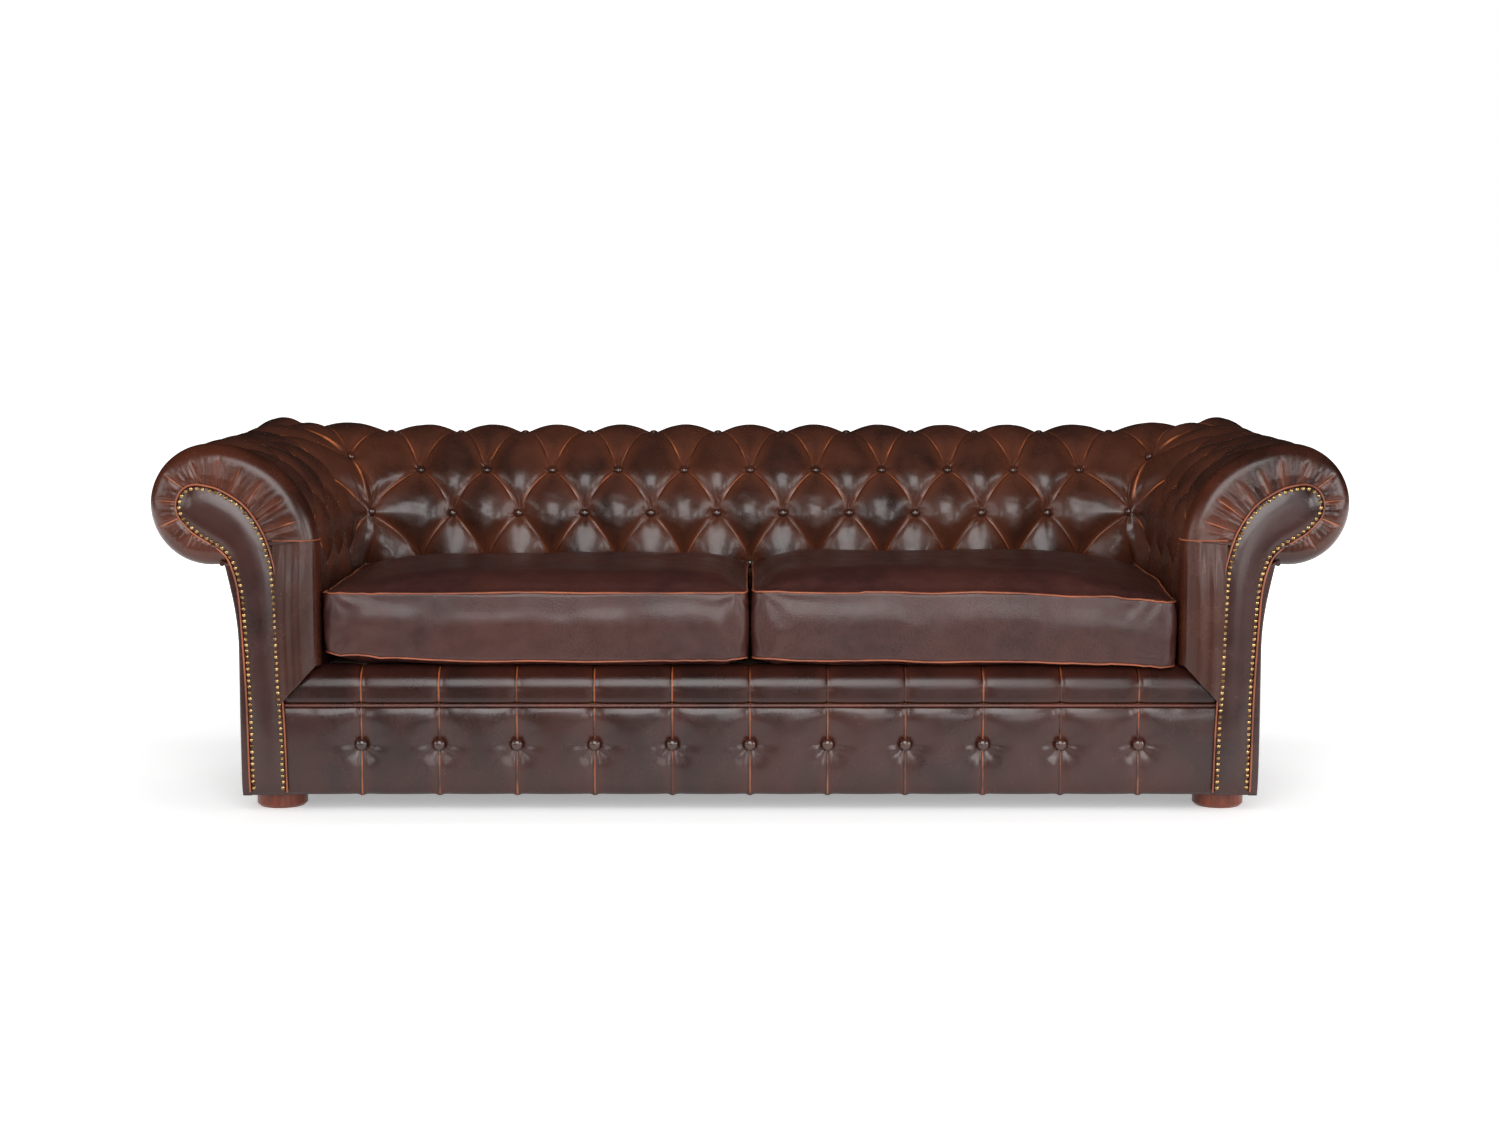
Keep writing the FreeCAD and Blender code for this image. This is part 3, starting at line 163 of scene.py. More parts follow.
def grid_faces(rows: int, columns: int, depth: Array | None = None, wrap: bool = False) -> list[tuple[int, ...]]:
    """Faces between the rows of a grid of vertices.

    Args:
        rows: How many rows of vertices there are.
        columns: How many vertices each row has.
        depth: The depth of each vertex, to crease each cell along its deeper diagonal.
        wrap: Whether the last column joins the first.

    Returns:
        Triangles where a depth is given, and otherwise quads.
    """
    faces: list[tuple[int, ...]] = []
    flat = None if depth is None else np.asarray(depth).reshape(rows, columns)
    for row in range(rows - 1):
        for column in range(columns if wrap else columns - 1):
            after = (column + 1) % columns
            a, b = row * columns + column, row * columns + after
            c, d = (row + 1) * columns + after, (row + 1) * columns + column
            if flat is None:
                faces.append((d, c, b, a))
            elif flat[row, column] + flat[row + 1, after] > flat[row, after] + flat[row + 1, column]:
                faces += [(c, b, a), (d, c, a)]
            else:
                faces += [(d, b, a), (d, c, b)]
    return faces


def grid_mesh(name: str, points: Array, flipped: bool = False) -> Mesh:
    """Makes a sheet through a grid of points.

    Args:
        name: The mesh's name.
        points: The rows of points.
        flipped: Whether its faces are turned round.

    Returns:
        The mesh.
    """
    faces = grid_faces(*points.shape[:2])
    return new_mesh(name, points.reshape(-1, 3), [face[::-1] for face in faces] if flipped else faces)


def outward(mesh: Mesh) -> Mesh:
    """Turns the faces of a closed mesh outwards.

    Args:
        mesh: The mesh.

    Returns:
        The same mesh.
    """
    work = bmesh.new()
    work.from_mesh(mesh)
    bmesh.ops.recalc_face_normals(work, faces=work.faces)
    work.to_mesh(mesh)
    work.free()
    return mesh


def turned_to_front(mesh: Mesh) -> Mesh:
    """Turns the faces of a sheet towards the front of the sofa.

    Args:
        mesh: The mesh.

    Returns:
        The same mesh.
    """
    if sum(face.normal.y * face.area for face in mesh.polygons) > 0:
        mesh.flip_normals()
    return mesh


def evaluated(piece: Piece) -> Mesh:
    """The mesh of a piece with its modifiers applied."""
    graph = bpy.context.evaluated_depsgraph_get()
    return bpy.data.meshes.new_from_object(piece.evaluated_get(graph), depsgraph=graph)


def thicken(piece: Piece, thickness: float) -> None:
    """Gives a sheet its thickness, on the side away from its face.

    Args:
        piece: The piece.
        thickness: Its thickness.
    """
    modifier = piece.modifiers.new("thickness", "SOLIDIFY")
    modifier.thickness = thickness
    modifier.offset = -1.0
    mesh = evaluated(piece)
    piece.modifiers.clear()
    piece.data = mesh


def vertex_vectors(mesh: Mesh, name: str) -> Array:
    """A vector of each vertex, such as its place, one row each.

    Args:
        mesh: The mesh.
        name: The vertices' property.

    Returns:
        The vectors.
    """
    values = np.zeros(len(mesh.vertices) * 3)
    mesh.vertices.foreach_get(name, values)
    return values.reshape(-1, 3)


def neighbour_means(mesh: Mesh, values: Array, rounds: int) -> Array:
    """Vertex values averaged with their neighbours' a number of times.

    Args:
        mesh: The mesh.
        values: A vector for each vertex.
        rounds: How many times.

    Returns:
        The new vectors.
    """
    ends = np.zeros(len(mesh.edges) * 2, np.int64)
    mesh.edges.foreach_get("vertices", ends)
    one, other = ends.reshape(-1, 2).T
    count = np.bincount(ends, minlength=len(values))[:, None] + 1.0
    for step in range(rounds):
        total = values.copy()
        np.add.at(total, one, values[other])
        np.add.at(total, other, values[one])
        values = total / count
    return values


def smooth_noise(points: Array, scale: float, seed: int) -> Array:
    """Smooth noise from -1 to 1, made of a few slanted waves.

    Args:
        points: Coordinates, one row each.
        scale: The length of the main wave, in the units of the points.
        seed: Which set of waves.

    Returns:
        One value for each point.
    """
    source = np.random.default_rng(seed)
    total = np.zeros(len(points))
    for step in range(7):
        direction = source.normal(size=points.shape[1])
        direction /= np.linalg.norm(direction)
        waves = 2 * math.pi / (scale * (0.6 + 0.9 * source.random()))
        total += np.sin(points @ direction * waves + source.random() * 2 * math.pi)
    return total / 4


def ease(low: float, high: float, value: Array) -> Array:
    """A smooth step from 0 at one value to 1 at another."""
    share = np.clip((np.asarray(value, float) - low) / (high - low), 0.0, 1.0)
    return share * share * (3 - 2 * share)


# Paths


def resampled(points: Array, step: float, closed: bool) -> Array:
    """Points spread evenly along a path.

    Args:
        points: The path's own points.
        step: The distance to aim for between points.
        closed: Whether the path is a ring.

    Returns:
        The new points.
    """
    ring = np.vstack((points, points[:1])) if closed else points
    lengths = run_lengths(ring)
    count = max(2, int(round(lengths[-1] / step)))
    where = np.linspace(0.0, lengths[-1], count + 1)
    if closed:
        where = where[:-1]
    return np.stack([np.interp(where, lengths, ring[:, axis]) for axis in range(ring.shape[1])], -1)


def run_lengths(path: Array) -> Array:
    """The length of a path up to each of its points."""
    return np.concatenate(([0.0], np.cumsum(np.linalg.norm(np.diff(path, axis=0), axis=1))))


def rounded(points: Array, rounds: int) -> Array:
    """An open path with its corners cut back a few times, its ends kept.

    Args:
        points: The path's points.
        rounds: How many times.

    Returns:
        The new points.
    """
    for step in range(rounds):
        start, end = points[:-1], points[1:]
        cut = np.stack((start * 0.75 + end * 0.25, start * 0.25 + end * 0.75), 1).reshape(-1, points.shape[1])
        points = np.vstack((points[:1], cut[1:-1], points[-1:]))
    return points


def quarter_turn(steps: int, first: int = 0) -> list[tuple[float, float]]:
    """The cosine and sine at even steps over a quarter turn."""
    angles = [step / steps * math.pi / 2 for step in range(first, steps + 1)]
    return [(math.cos(angle), math.sin(angle)) for angle in angles]


def edge_distance(points: Array, ring: Array) -> Array:
    """The distance of points from a closed outline.

    Args:
        points: The points.
        ring: The points of the outline.

    Returns:
        A distance for each point.
    """
    run = np.roll(ring, -1, axis=0) - ring
    gap = points[:, None, :] - ring[None]
    share = np.clip((gap * run[None]).sum(2) / (run**2).sum(1)[None], 0, 1)
    return np.sqrt(((gap - share[..., None] * run[None]) ** 2).sum(2)).min(1)


def inside(points: Array, ring: Array) -> Array:
    """Which points lie inside a closed outline.

    Args:
        points: The points.
        ring: The points of the outline.

    Returns:
        True for each point that does.
    """
    x, y = points[:, 0][:, None], points[:, 1][:, None]
    x1, y1 = ring[:, 0][None], ring[:, 1][None]
    x2, y2 = np.roll(x1, -1), np.roll(y1, -1)
    crosses = ((y1 > y) != (y2 > y)) & (x < (x2 - x1) * (y - y1) / (y2 - y1 + 1e-12) + x1)
    return crosses.sum(1) % 2 == 1


# The outline that the arms and the back share


@dataclass(frozen=True)
class Outline:
    """The cane-shaped outline: a run along it, and an inset from it, in metres."""

    crest_height: float = 0.726
    shoulder: float = 0.209
    roll: float = 0.119
    tack_setback: float = 0.188
    pad_bottom: float = 0.240
    rows: tuple[float, ...] = (-0.086, 0.028, 0.144, 0.3453)

    @property
    def spring(self) -> float:
        """The height at which the inner face starts to curve."""
        return self.crest_height - self.shoulder

    @property
    def crest(self) -> float:
        """The run at the crest."""
        return math.pi / 2 * self.shoulder

    @property
    def end(self) -> float:
        """The run at which the leather is tacked under the roll."""
        overhang = math.asin((self.shoulder - self.tack_setback) / self.roll)
        return self.crest + self.roll * (math.pi + overhang)

    @property
    def bottom(self) -> float:
        """The run at the lower edge of the padding."""
        return self.pad_bottom - self.spring

    def point(self, run: Array, inset: Array) -> tuple[Array, Array]:
        """Where a run and an inset lie.

        Args:
            run: Distances along the outline, 0 as it starts to curve.
            inset: Distances inwards from it.

        Returns:
            The setbacks and the heights.
        """
        run, inset = np.broadcast_arrays(np.asarray(run, float), np.asarray(inset, float))
        first = run / self.shoulder
        second = (run - self.crest) / self.roll
        reach, hook = self.shoulder - inset, self.roll - inset
        centre = self.crest_height - self.roll
        setback = np.where(run <= 0, inset, self.shoulder - reach * np.cos(first))
        height = np.where(run <= 0, self.spring + run, self.spring + reach * np.sin(first))
        over = run > self.crest
        setback = np.where(over, self.shoulder + hook * np.sin(second), setback)
        height = np.where(over, centre + hook * np.cos(second), height)
        return setback, height


OUTLINE = Outline()
ROW_NUMBERS = (0.0, 1.0, 2.0, 3.0)
ARM_FACE = 0.842
BACK_FACE = 0.142
CREASE = -0.400


def on_arm(along: Array, setback: Array, height: Array, side: Side) -> Array:
    """Points of an arm, from their place along it, setback and height."""
    return np.stack(np.broadcast_arrays(side.value * (ARM_FACE + setback), along, height), -1)


def on_back(along: Array, setback: Array, height: Array) -> Array:
    """Points of the back, from their place along it, setback and height."""
    return np.stack(np.broadcast_arrays(along, BACK_FACE + setback, height), -1)


@dataclass(frozen=True)
class Buttoning:
    """The form of deep-buttoned leather: diamonds of padding between bowed pleats."""

    depth: float = 0.030
    top_depth: float = 0.019
    roll_depth: float = 0.009
    crease_rise: float = 0.42
    power: float = 0.62
    softness: float = 0.03
    bow: float = 0.16
    top_bow: float = 0.03
    corner_fill: float = 0.050
    corner_pitches: tuple[float, ...] = (1.0, 0.5, 1.0, 2.0)
    corner_fills: tuple[float, ...] = (0.5, 1.0, 1.0, 0.28)
    end_puff: float = 0.3

    @property
    def top_mitres(self) -> tuple[float, ...]:
        """How far into a rear corner the extra buttons of the top row lie."""
        return tuple(columns / self.corner_pitches[-1] for columns in (0.5, 1.5))

    def row_at(self, run: Array) -> Array:
        """The row that each run lies on, from 0 at the lowest row of buttons to 3 at the top."""
        return np.interp(run, OUTLINE.rows, ROW_NUMBERS)

    def bowed(self, row: Array, start: Array, sign: int) -> Array:
        """The phase of a family of pleats, with the bow that makes them arch over each diamond.

        Args:
            row: The row of each point.
            start: Its column.
            sign: Which way the family leans.

        Returns:
            The phases.
        """
        whole = np.floor(row)
        straight = start + sign * row / 2
        near = (1 - 2 * np.abs(straight - np.round(straight))) ** 2
        bow = np.where(whole >= 2, self.top_bow, self.bow) * near
        return straight - sign * bow * np.sin(math.pi * (row - whole)) / 2

    def pillow(self, phase: Array) -> Array:
        """How far leather rises between two pleats.

        Args:
            phase: The phase of each point.

        Returns:
            The rises, from 0 to 1.
        """
        offset = np.minimum(np.hypot(phase - np.round(phase), self.softness), 0.5)
        floor = math.sin(math.pi * self.softness) ** self.power
        return (np.sin(math.pi * offset) ** self.power - floor) / (1 - floor)

    def pleat_depth(self, run: Array) -> Array:
        """The depth of the buttoning, which runs out over the crest and the roll."""
        knots = (*OUTLINE.rows[2:], OUTLINE.end)
        return np.interp(run, knots, (self.depth, self.top_depth, self.roll_depth))

    def fill(self, run: Array) -> Array:
        """How far the padding is built up on the mitre of a rear corner.

        Args:
            run: The run of each point.

        Returns:
            The heights of the filling.
        """
        low, top = OUTLINE.rows[0], OUTLINE.rows[-1]
        middle = (OUTLINE.crest + OUTLINE.end) / 2
        below = np.clip(1 - 2 * (low - run) / (low - OUTLINE.bottom), 0.0, 1.0)
        above = np.clip(1 - (run - top) / (middle - top), 0.0, 1.0)
        between = np.interp(self.row_at(run), ROW_NUMBERS, self.corner_fills)
        share = np.where(run <= low, self.corner_fills[0] * below, between)
        return self.corner_fill * np.where(run >= top, self.corner_fills[-1] * above, share)

    def phases(self, columns: Array, run: Array) -> tuple[Array, Array]:
        """The phases of the two families of pleats."""
        row = self.row_at(run)
        return self.bowed(row, columns, 1), self.bowed(row, columns, -1)

    def column_at(self, column: Array, mitre: Array, sign: Array, run: Array) -> Array:
        """The column of each point: a corner holds more of the pattern where it is longer."""
        beyond = np.interp(self.row_at(run), ROW_NUMBERS, self.corner_pitches)
        return column + sign * mitre * beyond

    def inset(self, columns: Array, run: Array, mitre: Array, end_share: Array) -> Array:
        """How far the leather lies below the outline.

        Args:
            columns: The column of each point.
            run: Its run.
            mitre: Its share of the way into a rear corner.
            end_share: How freely it puffs, less than 1 near a sewn end.

        Returns:
            The insets.
        """
        one, other = (self.pillow(phase) for phase in self.phases(columns, run))
        crease_rise = self.crease_rise * np.maximum(one, other)
        rise = crease_rise + (1 - crease_rise) * one * other
        puff = self.end_puff + (1 - self.end_puff) * np.minimum(1.0, end_share)
        return self.pleat_depth(run) * (1 - rise * puff) - self.fill(run) * mitre**2


BUTTONING = Buttoning()


# Shader nodes


def linear(colour: Colour) -> tuple[float, float, float, float]:
    """A colour written in 0 to 255 as a linear colour with full alpha.

    Args:
        colour: Red, green and blue.

    Returns:
        The linear colour.
    """
    shares = [channel / 255 for channel in colour]
    red, green, blue = (
        share / 12.92 if share <= 0.04045 else ((share + 0.055) / 1.055) ** 2.4 for share in shares
    )
    return red, green, blue, 1.0


class Graph:
    """Adds nodes to a tree, with their values and links given by the names of their sockets."""

    def __init__(self, tree: NodeTree) -> None:
        """Starts on a tree."""
        self.tree = tree

    def add(self, kind: str, inputs: dict[str | int, object] | None = None, **settings: object) -> Node:
        """Adds a node.

        Args:
            kind: The node's type.
            inputs: Values or sockets for its inputs.
            **settings: Its other properties.

        Returns:
            The node.
        """
        node = self.tree.nodes.new(kind)
        for name, value in settings.items():
            setattr(node, name, value)
        for name, value in (inputs or {}).items():
            if isinstance(value, Socket):
                self.tree.links.new(value, node.inputs[name])
            else:
                node.inputs[name].default_value = value
        return node

    def link(self, output: Socket, target: Socket) -> None:
        """Links an output to an input."""
        self.tree.links.new(output, target)

    def math(self, operation: str, *values: object) -> Socket:
        """A sum of one, two or three values."""
        return self.add("ShaderNodeMath", dict(enumerate(values)), operation=operation).outputs[0]

    def product(self, *values: object) -> Socket:
        """The product of two or more values.

        Args:
            *values: Numbers or sockets.

        Returns:
            The product.
        """
        result = values[0]
        for value in values[1:]:
            result = self.math("MULTIPLY", result, value)
        return result

    def ramp(self, value: object, low: object, high: object, start: float = 0.0, end: float = 1.0) -> Socket:
        """A smooth step of a value."""
        names = {"Value": value, "From Min": low, "From Max": high, "To Min": start, "To Max": end}
        return self.add("ShaderNodeMapRange", names, interpolation_type="SMOOTHSTEP").outputs[0]

    def noise(self, vector: object, scale: object, detail: float = 2.0, roughness: float = 0.5) -> Socket:
        """Smooth noise from about 0 to 1."""
        names = {"Vector": vector, "Scale": scale, "Detail": detail, "Roughness": roughness}
        return self.add("ShaderNodeTexNoise", names).outputs[0]

    def cells(self, vector: object, scale: object) -> Socket:
        """The distance to the edges of a pattern of cells."""
        names = {"Vector": vector, "Scale": scale}
        return self.add("ShaderNodeTexVoronoi", names, feature="DISTANCE_TO_EDGE").outputs[0]

    def bump(self, height: object, strength: float, distance: float, **normal: object) -> Socket:
        """A normal bent by a height, on another Normal where one is given."""
        names = {"Height": height, "Strength": strength, "Distance": distance, **normal}
        return self.add("ShaderNodeBump", names).outputs[0]

    def place(self) -> Socket:
        """The place of the shaded point in the object's own coordinates."""
        return self.add("ShaderNodeTexCoord").outputs["Object"]

    def mix(self, factor: object, one: object, other: object) -> Socket:
        """A mix of two colours."""
        return self.add("ShaderNodeMix", {0: factor, 6: one, 7: other}, data_type="RGBA").outputs[2]


def node_group(
    name: str, inputs: Iterable[tuple[str, str, object]], outputs: Iterable[str]
) -> tuple[Graph, Node, Node]:
    """Starts a shader node group.

    Args:
        name: The group's name.
        inputs: The name, socket type and value of each input.
        outputs: The name of each output, all of them plain numbers.

    Returns:
        A graph on the group, and its input and output nodes.
    """
    group = bpy.data.node_groups.new(name, "ShaderNodeTree")
    for label, kind, value in inputs:
        socket = group.interface.new_socket(label, in_out="INPUT", socket_type=kind)
        if value is not None:
            socket.default_value = value
    for label in outputs:
        group.interface.new_socket(label, in_out="OUTPUT", socket_type="NodeSocketFloat")
    graph = Graph(group)
    return graph, graph.add("NodeGroupInput"), graph.add("NodeGroupOutput")


def start_material(name: str) -> tuple[Material, Graph, Node]:
    """Starts a material.

    Args:
        name: The material's name.

    Returns:
        The material, a graph on it and its main shader.
    """
    material = bpy.data.materials.new(name)
    material.use_nodes = True
    return material, Graph(material.node_tree), material.node_tree.nodes["Principled BSDF"]


class LeatherGroups:
    """The effects that the leathers share."""

    def __init__(self) -> None:
        """Builds each group once."""
        self.pleats = self._pleats()
        self.hide = self._hide()

    def _pleats(self) -> NodeTree:
        """Masks for the rubbed line on each pleat, the halo round it and the painted shade under it, and their
        height.

        Returns:
            The group.
        """
        graph, source, result = node_group(
            "pleat rub",
            (
                ("Phase", "NodeSocketVector", None),
                ("Vector", "NodeSocketVector", None),
                ("Reach", "NodeSocketFloat", 1.0),
                ("Spacing", "NodeSocketFloat", 0.12),
                ("Width", "NodeSocketFloat", 0.0028),
                ("Halo", "NodeSocketFloat", 0.03),
                ("Pucker", "NodeSocketFloat", 0.6),
            ),
            ("Line", "Halo", "Under", "Height"),
        )
        vector, reach = source.outputs["Vector"], source.outputs["Reach"]
        signed = self._distances(graph, source)
        gaps = [graph.math("ABSOLUTE", value) for value in signed]
        near, far = graph.math("MINIMUM", *gaps), graph.math("MAXIMUM", *gaps)
        clear = graph.product(reach, graph.ramp(far, 0.010, 0.034))
        wobble = graph.noise(vector, 45.0, 1.0)
        width = graph.product(source.outputs["Width"], graph.math("ADD", 0.45, wobble))
        patchy = graph.ramp(graph.noise(vector, 11.0), 0.38, 0.6, 0.2, 1.0)
        graph.link(graph.product(graph.ramp(near, width, 0.0), patchy, clear), result.inputs["Line"])
        halo = graph.ramp(near, source.outputs["Halo"], 0.0)
        graph.link(graph.product(halo, reach), result.inputs["Halo"])
        # Painted shade: a dark band on the lower side of each pleat line, where the fold would shade the leather.
        shades = [
            graph.product(graph.ramp(value, -0.0065, -0.0015), graph.ramp(value, 0.0006, -0.0008))
            for value in signed
        ]
        graph.link(graph.product(graph.math("MAXIMUM", *shades), clear), result.inputs["Under"])
        steps = [
            graph.math("SUBTRACT", graph.ramp(value, -0.0009, 0.0), graph.ramp(value, 0.0, 0.009))
            for value in signed
        ]
        fold = graph.product(graph.math("MAXIMUM", *steps), clear)
        graph.link(graph.math("ADD", fold, self._puckers(graph, source, signed)), result.inputs["Height"])
        return graph.tree

    @staticmethod
    def _distances(graph: Graph, source: Node) -> list[Socket]:
        """The signed distance to the nearest pleat of each family.

        Args:
            graph: The group's graph.
            source: Its input node.

        Returns:
            A distance for each family.
        """
        split = graph.add("ShaderNodeSeparateXYZ", {0: source.outputs["Phase"]})
        signed = []
        for output, sign in ((split.outputs[0], 1.0), (split.outputs[1], -1.0)):
            part = graph.math("SUBTRACT", graph.math("FRACT", graph.math("ADD", output, 0.5)), 0.5)
            signed.append(graph.product(part, sign, source.outputs["Spacing"]))
        return signed

    @staticmethod
    def _puckers(graph: Graph, source: Node, signed: Sequence[Socket]) -> Socket:
        """The height of the small folds that run out from each button.

        Args:
            graph: The group's graph.
            source: Its input node.
            signed: The distances to the pleats.

        Returns:
            The height.
        """
        radius = graph.math("SQRT", graph.math("ADD", *(graph.product(value, value) for value in signed)))
        angle = graph.product(graph.math("ARCTAN2", *signed), 7.0)
        twist = graph.product(graph.noise(source.outputs["Vector"], 22.0, 1.0), 16.0)
        ray = graph.math("SINE", graph.math("ADD", angle, twist))
        ring = graph.product(graph.ramp(radius, 0.034, 0.012), graph.ramp(radius, 0.004, 0.010))
        return graph.product(ray, ring, source.outputs["Pucker"], source.outputs["Reach"])

    @staticmethod
    def _hide() -> NodeTree:
        """The grain, creases, mottling and scuffs of a waxed hide.

        Returns:
            The group.
        """
        graph, source, result = node_group(
            "waxed hide",
            (
                ("Vector", "NodeSocketVector", None),
                ("Grain Size", "NodeSocketFloat", 0.0016),
                ("Mottle Size", "NodeSocketFloat", 0.06),
                ("Crackle", "NodeSocketFloat", 0.4),
            ),
            ("Height", "Mottle", "Cloud", "Scuff", "Crease"),
        )
        vector = source.outputs["Vector"]
        pores = graph.ramp(graph.cells(vector, graph.math("DIVIDE", 1.0, source.outputs["Grain Size"])), 0.0, 0.22)
        warp = graph.noise(vector, 30.0).node.outputs["Color"]
        bent = graph.add("ShaderNodeMix", data_type="VECTOR")
        bent.inputs[0].default_value = 0.006
        graph.link(vector, bent.inputs[4])
        graph.link(warp, bent.inputs[5])
        creases = graph.cells(bent.outputs[1], 190.0)
        worn = graph.ramp(graph.noise(vector, 7.0), 0.4, 0.6, 0.25, 1.0)
        amount = graph.product(worn, source.outputs["Crackle"])
        crackle = graph.product(graph.ramp(creases, 0.0, 0.2), amount)
        graph.link(graph.product(graph.ramp(creases, 0.13, 0.0), amount), result.inputs["Crease"])
        graph.link(graph.math("ADD", graph.product(pores, 0.25), crackle), result.inputs["Height"])
        mottle = graph.noise(vector, graph.math("DIVIDE", 1.0, source.outputs["Mottle Size"]), 6.0, 0.62)
        graph.link(graph.ramp(mottle, 0.34, 0.68), result.inputs["Mottle"])
        graph.link(graph.ramp(graph.noise(vector, 4.2), 0.32, 0.68), result.inputs["Cloud"])
        turn = {"Vector": vector, "Rotation": (0.3, 0.5, 0.6), "Scale": (1.0, 6.0, 2.0)}
        scratched = graph.noise(graph.add("ShaderNodeMapping", turn).outputs[0], 60.0, 3.0, 0.7)
        graph.link(graph.ramp(scratched, 0.62, 0.85), result.inputs["Scuff"])
        return graph.tree


@dataclass(frozen=True)
class Leather:
    """A waxed leather, dark on its faces and rubbed to orange on its pleats."""

    name: str
    base: Colour
    warm: Colour
    dark: Colour
    rub: Colour = (186, 104, 62)
    # The colour of the painted shade on the lower side of each pleat.
    shade: Colour = (14, 7, 5)
    crease_share: float = 0.7
    cloud: float = 0.45
    under: float = 0.75
    line: float = 0.8
    halo: float = 0.55
    spacing: float = 0.12
    width: float = 0.0024
    roughness: float = 0.20
    mottle_roughness: float = 0.08
    crackle: float = 0.12
    mottle_size: float = 0.06
    pucker: float = 0.6
    scuff: float = 0.12
    coat: float = 0.25

    def build(self, groups: LeatherGroups) -> Material:
        """Builds the material.

        Args:
            groups: The effects that the leathers share.

        Returns:
            The material.
        """
        material, graph, shader = start_material(self.name)
        place = graph.place()
        hide = graph.add(
            "ShaderNodeGroup",
            {"Vector": place, "Mottle Size": self.mottle_size, "Crackle": self.crackle},
            node_tree=groups.hide,
        )
        pattern = graph.add("ShaderNodeUVMap", uv_map=PATTERN_MAP).outputs[0]
        reach = graph.add("ShaderNodeAttribute", attribute_name=REACH).outputs["Fac"]
        sizes = {"Spacing": self.spacing, "Width": self.width, "Pucker": self.pucker}
        pleats = graph.add(
            "ShaderNodeGroup", {"Vector": place, "Phase": pattern, "Reach": reach, **sizes}, node_tree=groups.pleats
        )
        graph.link(self.colour(graph, hide, pleats), shader.inputs["Base Color"])
        rough = graph.product(hide.outputs["Mottle"], self.mottle_roughness)
        graph.link(graph.math("ADD", self.roughness, rough), shader.inputs["Roughness"])
        grain = graph.bump(hide.outputs["Height"], 0.3, 0.0006)
        graph.link(graph.bump(pleats.outputs["Height"], 0.7, 0.0022, Normal=grain), shader.inputs["Normal"])
        shader.inputs["Specular IOR Level"].default_value = 0.45
        shader.inputs["Coat Weight"].default_value = self.coat
        shader.inputs["Coat Roughness"].default_value = 0.12
        return material

    def colour(self, graph: Graph, hide: Node, pleats: Node) -> Socket:
        """Lays the tones of the leather over each other.

        Args:
            graph: The material's graph.
            hide: The node of the hide's effects.
            pleats: The node of the pleats' effects.

        Returns:
            The colour.
        """
        warm = linear(self.warm)
        crease = linear(tuple(channel * self.crease_share for channel in self.dark))
        colour = graph.mix(hide.outputs["Mottle"], linear(self.dark), linear(self.base))
        for share, tone in (
            (graph.product(hide.outputs["Cloud"], self.cloud), warm),
            (graph.product(pleats.outputs["Halo"], self.halo), warm),
            (hide.outputs["Crease"], crease),
            (graph.product(hide.outputs["Scuff"], self.scuff), warm),
            # Painted shade: darkens the leather on the lower side of each pleat line.
            (graph.product(pleats.outputs["Under"], self.under), linear(self.shade)),
            (graph.product(pleats.outputs["Line"], self.line), linear(self.rub)),
        ):
            colour = graph.mix(share, colour, tone)
        return colour


@dataclass(frozen=True)
class Timber:
    """Wood with its grain along an axis."""

    name: str
    pale: Colour
    deep: Colour
    along: tuple[float, float, float] = (1.0, 14.0, 14.0)
    roughness: float = 0.5
    coat: float = 0.0

    def build(self) -> Material:
        """Builds the material.

        Returns:
            The material.
        """
        material, graph, shader = start_material(self.name)
        mapping = graph.add("ShaderNodeMapping", {"Vector": graph.place(), "Scale": self.along})
        grain = graph.noise(mapping.outputs[0], 12.0, 6.0, 0.65)
        colour = graph.mix(graph.ramp(grain, 0.3, 0.7), linear(self.deep), linear(self.pale))
        graph.link(colour, shader.inputs["Base Color"])
        graph.link(graph.bump(grain, 0.3, 0.0004), shader.inputs["Normal"])
        shader.inputs["Roughness"].default_value = self.roughness
        shader.inputs["Coat Weight"].default_value = self.coat
        shader.inputs["Coat Roughness"].default_value = 0.25
        return material


@dataclass(frozen=True)
class Cloth:
    """A woven or matted cloth."""

    name: str
    pale: Colour
    deep: Colour
    thread: float = 0.0012
    woven: bool = True

    def build(self) -> Material:
        """Builds the material.

        Returns:
            The material.
        """
        material, graph, shader = start_material(self.name)
        place = graph.place()
        if self.woven:
            scale = 1 / self.thread / (2 * math.pi)
            waves = (
                graph.add("ShaderNodeTexWave", {"Vector": place, "Scale": scale}, bands_direction=direction)
                for direction in "XY"
            )
            height = graph.product(*(wave.outputs["Fac"] for wave in waves))
        else:
            height = graph.noise(place, 400.0, 4.0)
        graph.link(graph.mix(height, linear(self.deep), linear(self.pale)), shader.inputs["Base Color"])
        graph.link(graph.bump(height, 0.4, 0.0004), shader.inputs["Normal"])
        shader.inputs["Roughness"].default_value = 0.9
        return material


@dataclass(frozen=True)
class Metal:
    """A plated or aged metal."""

    name: str
    bright: Colour
    dull: Colour
    roughness: float = 0.28
    dull_roughness: float = 0.2

    def build(self) -> Material:
        """Builds the material.

        Returns:
            The material.
        """
        material, graph, shader = start_material(self.name)
        share = graph.ramp(graph.noise(graph.place(), 160.0, 3.0), 0.35, 0.62)
        graph.link(graph.mix(share, linear(self.dull), linear(self.bright)), shader.inputs["Base Color"])
        rough = graph.ramp(share, 0.0, 1.0, self.roughness + self.dull_roughness, self.roughness)
        graph.link(rough, shader.inputs["Roughness"])
        shader.inputs["Metallic"].default_value = 1.0
        return material


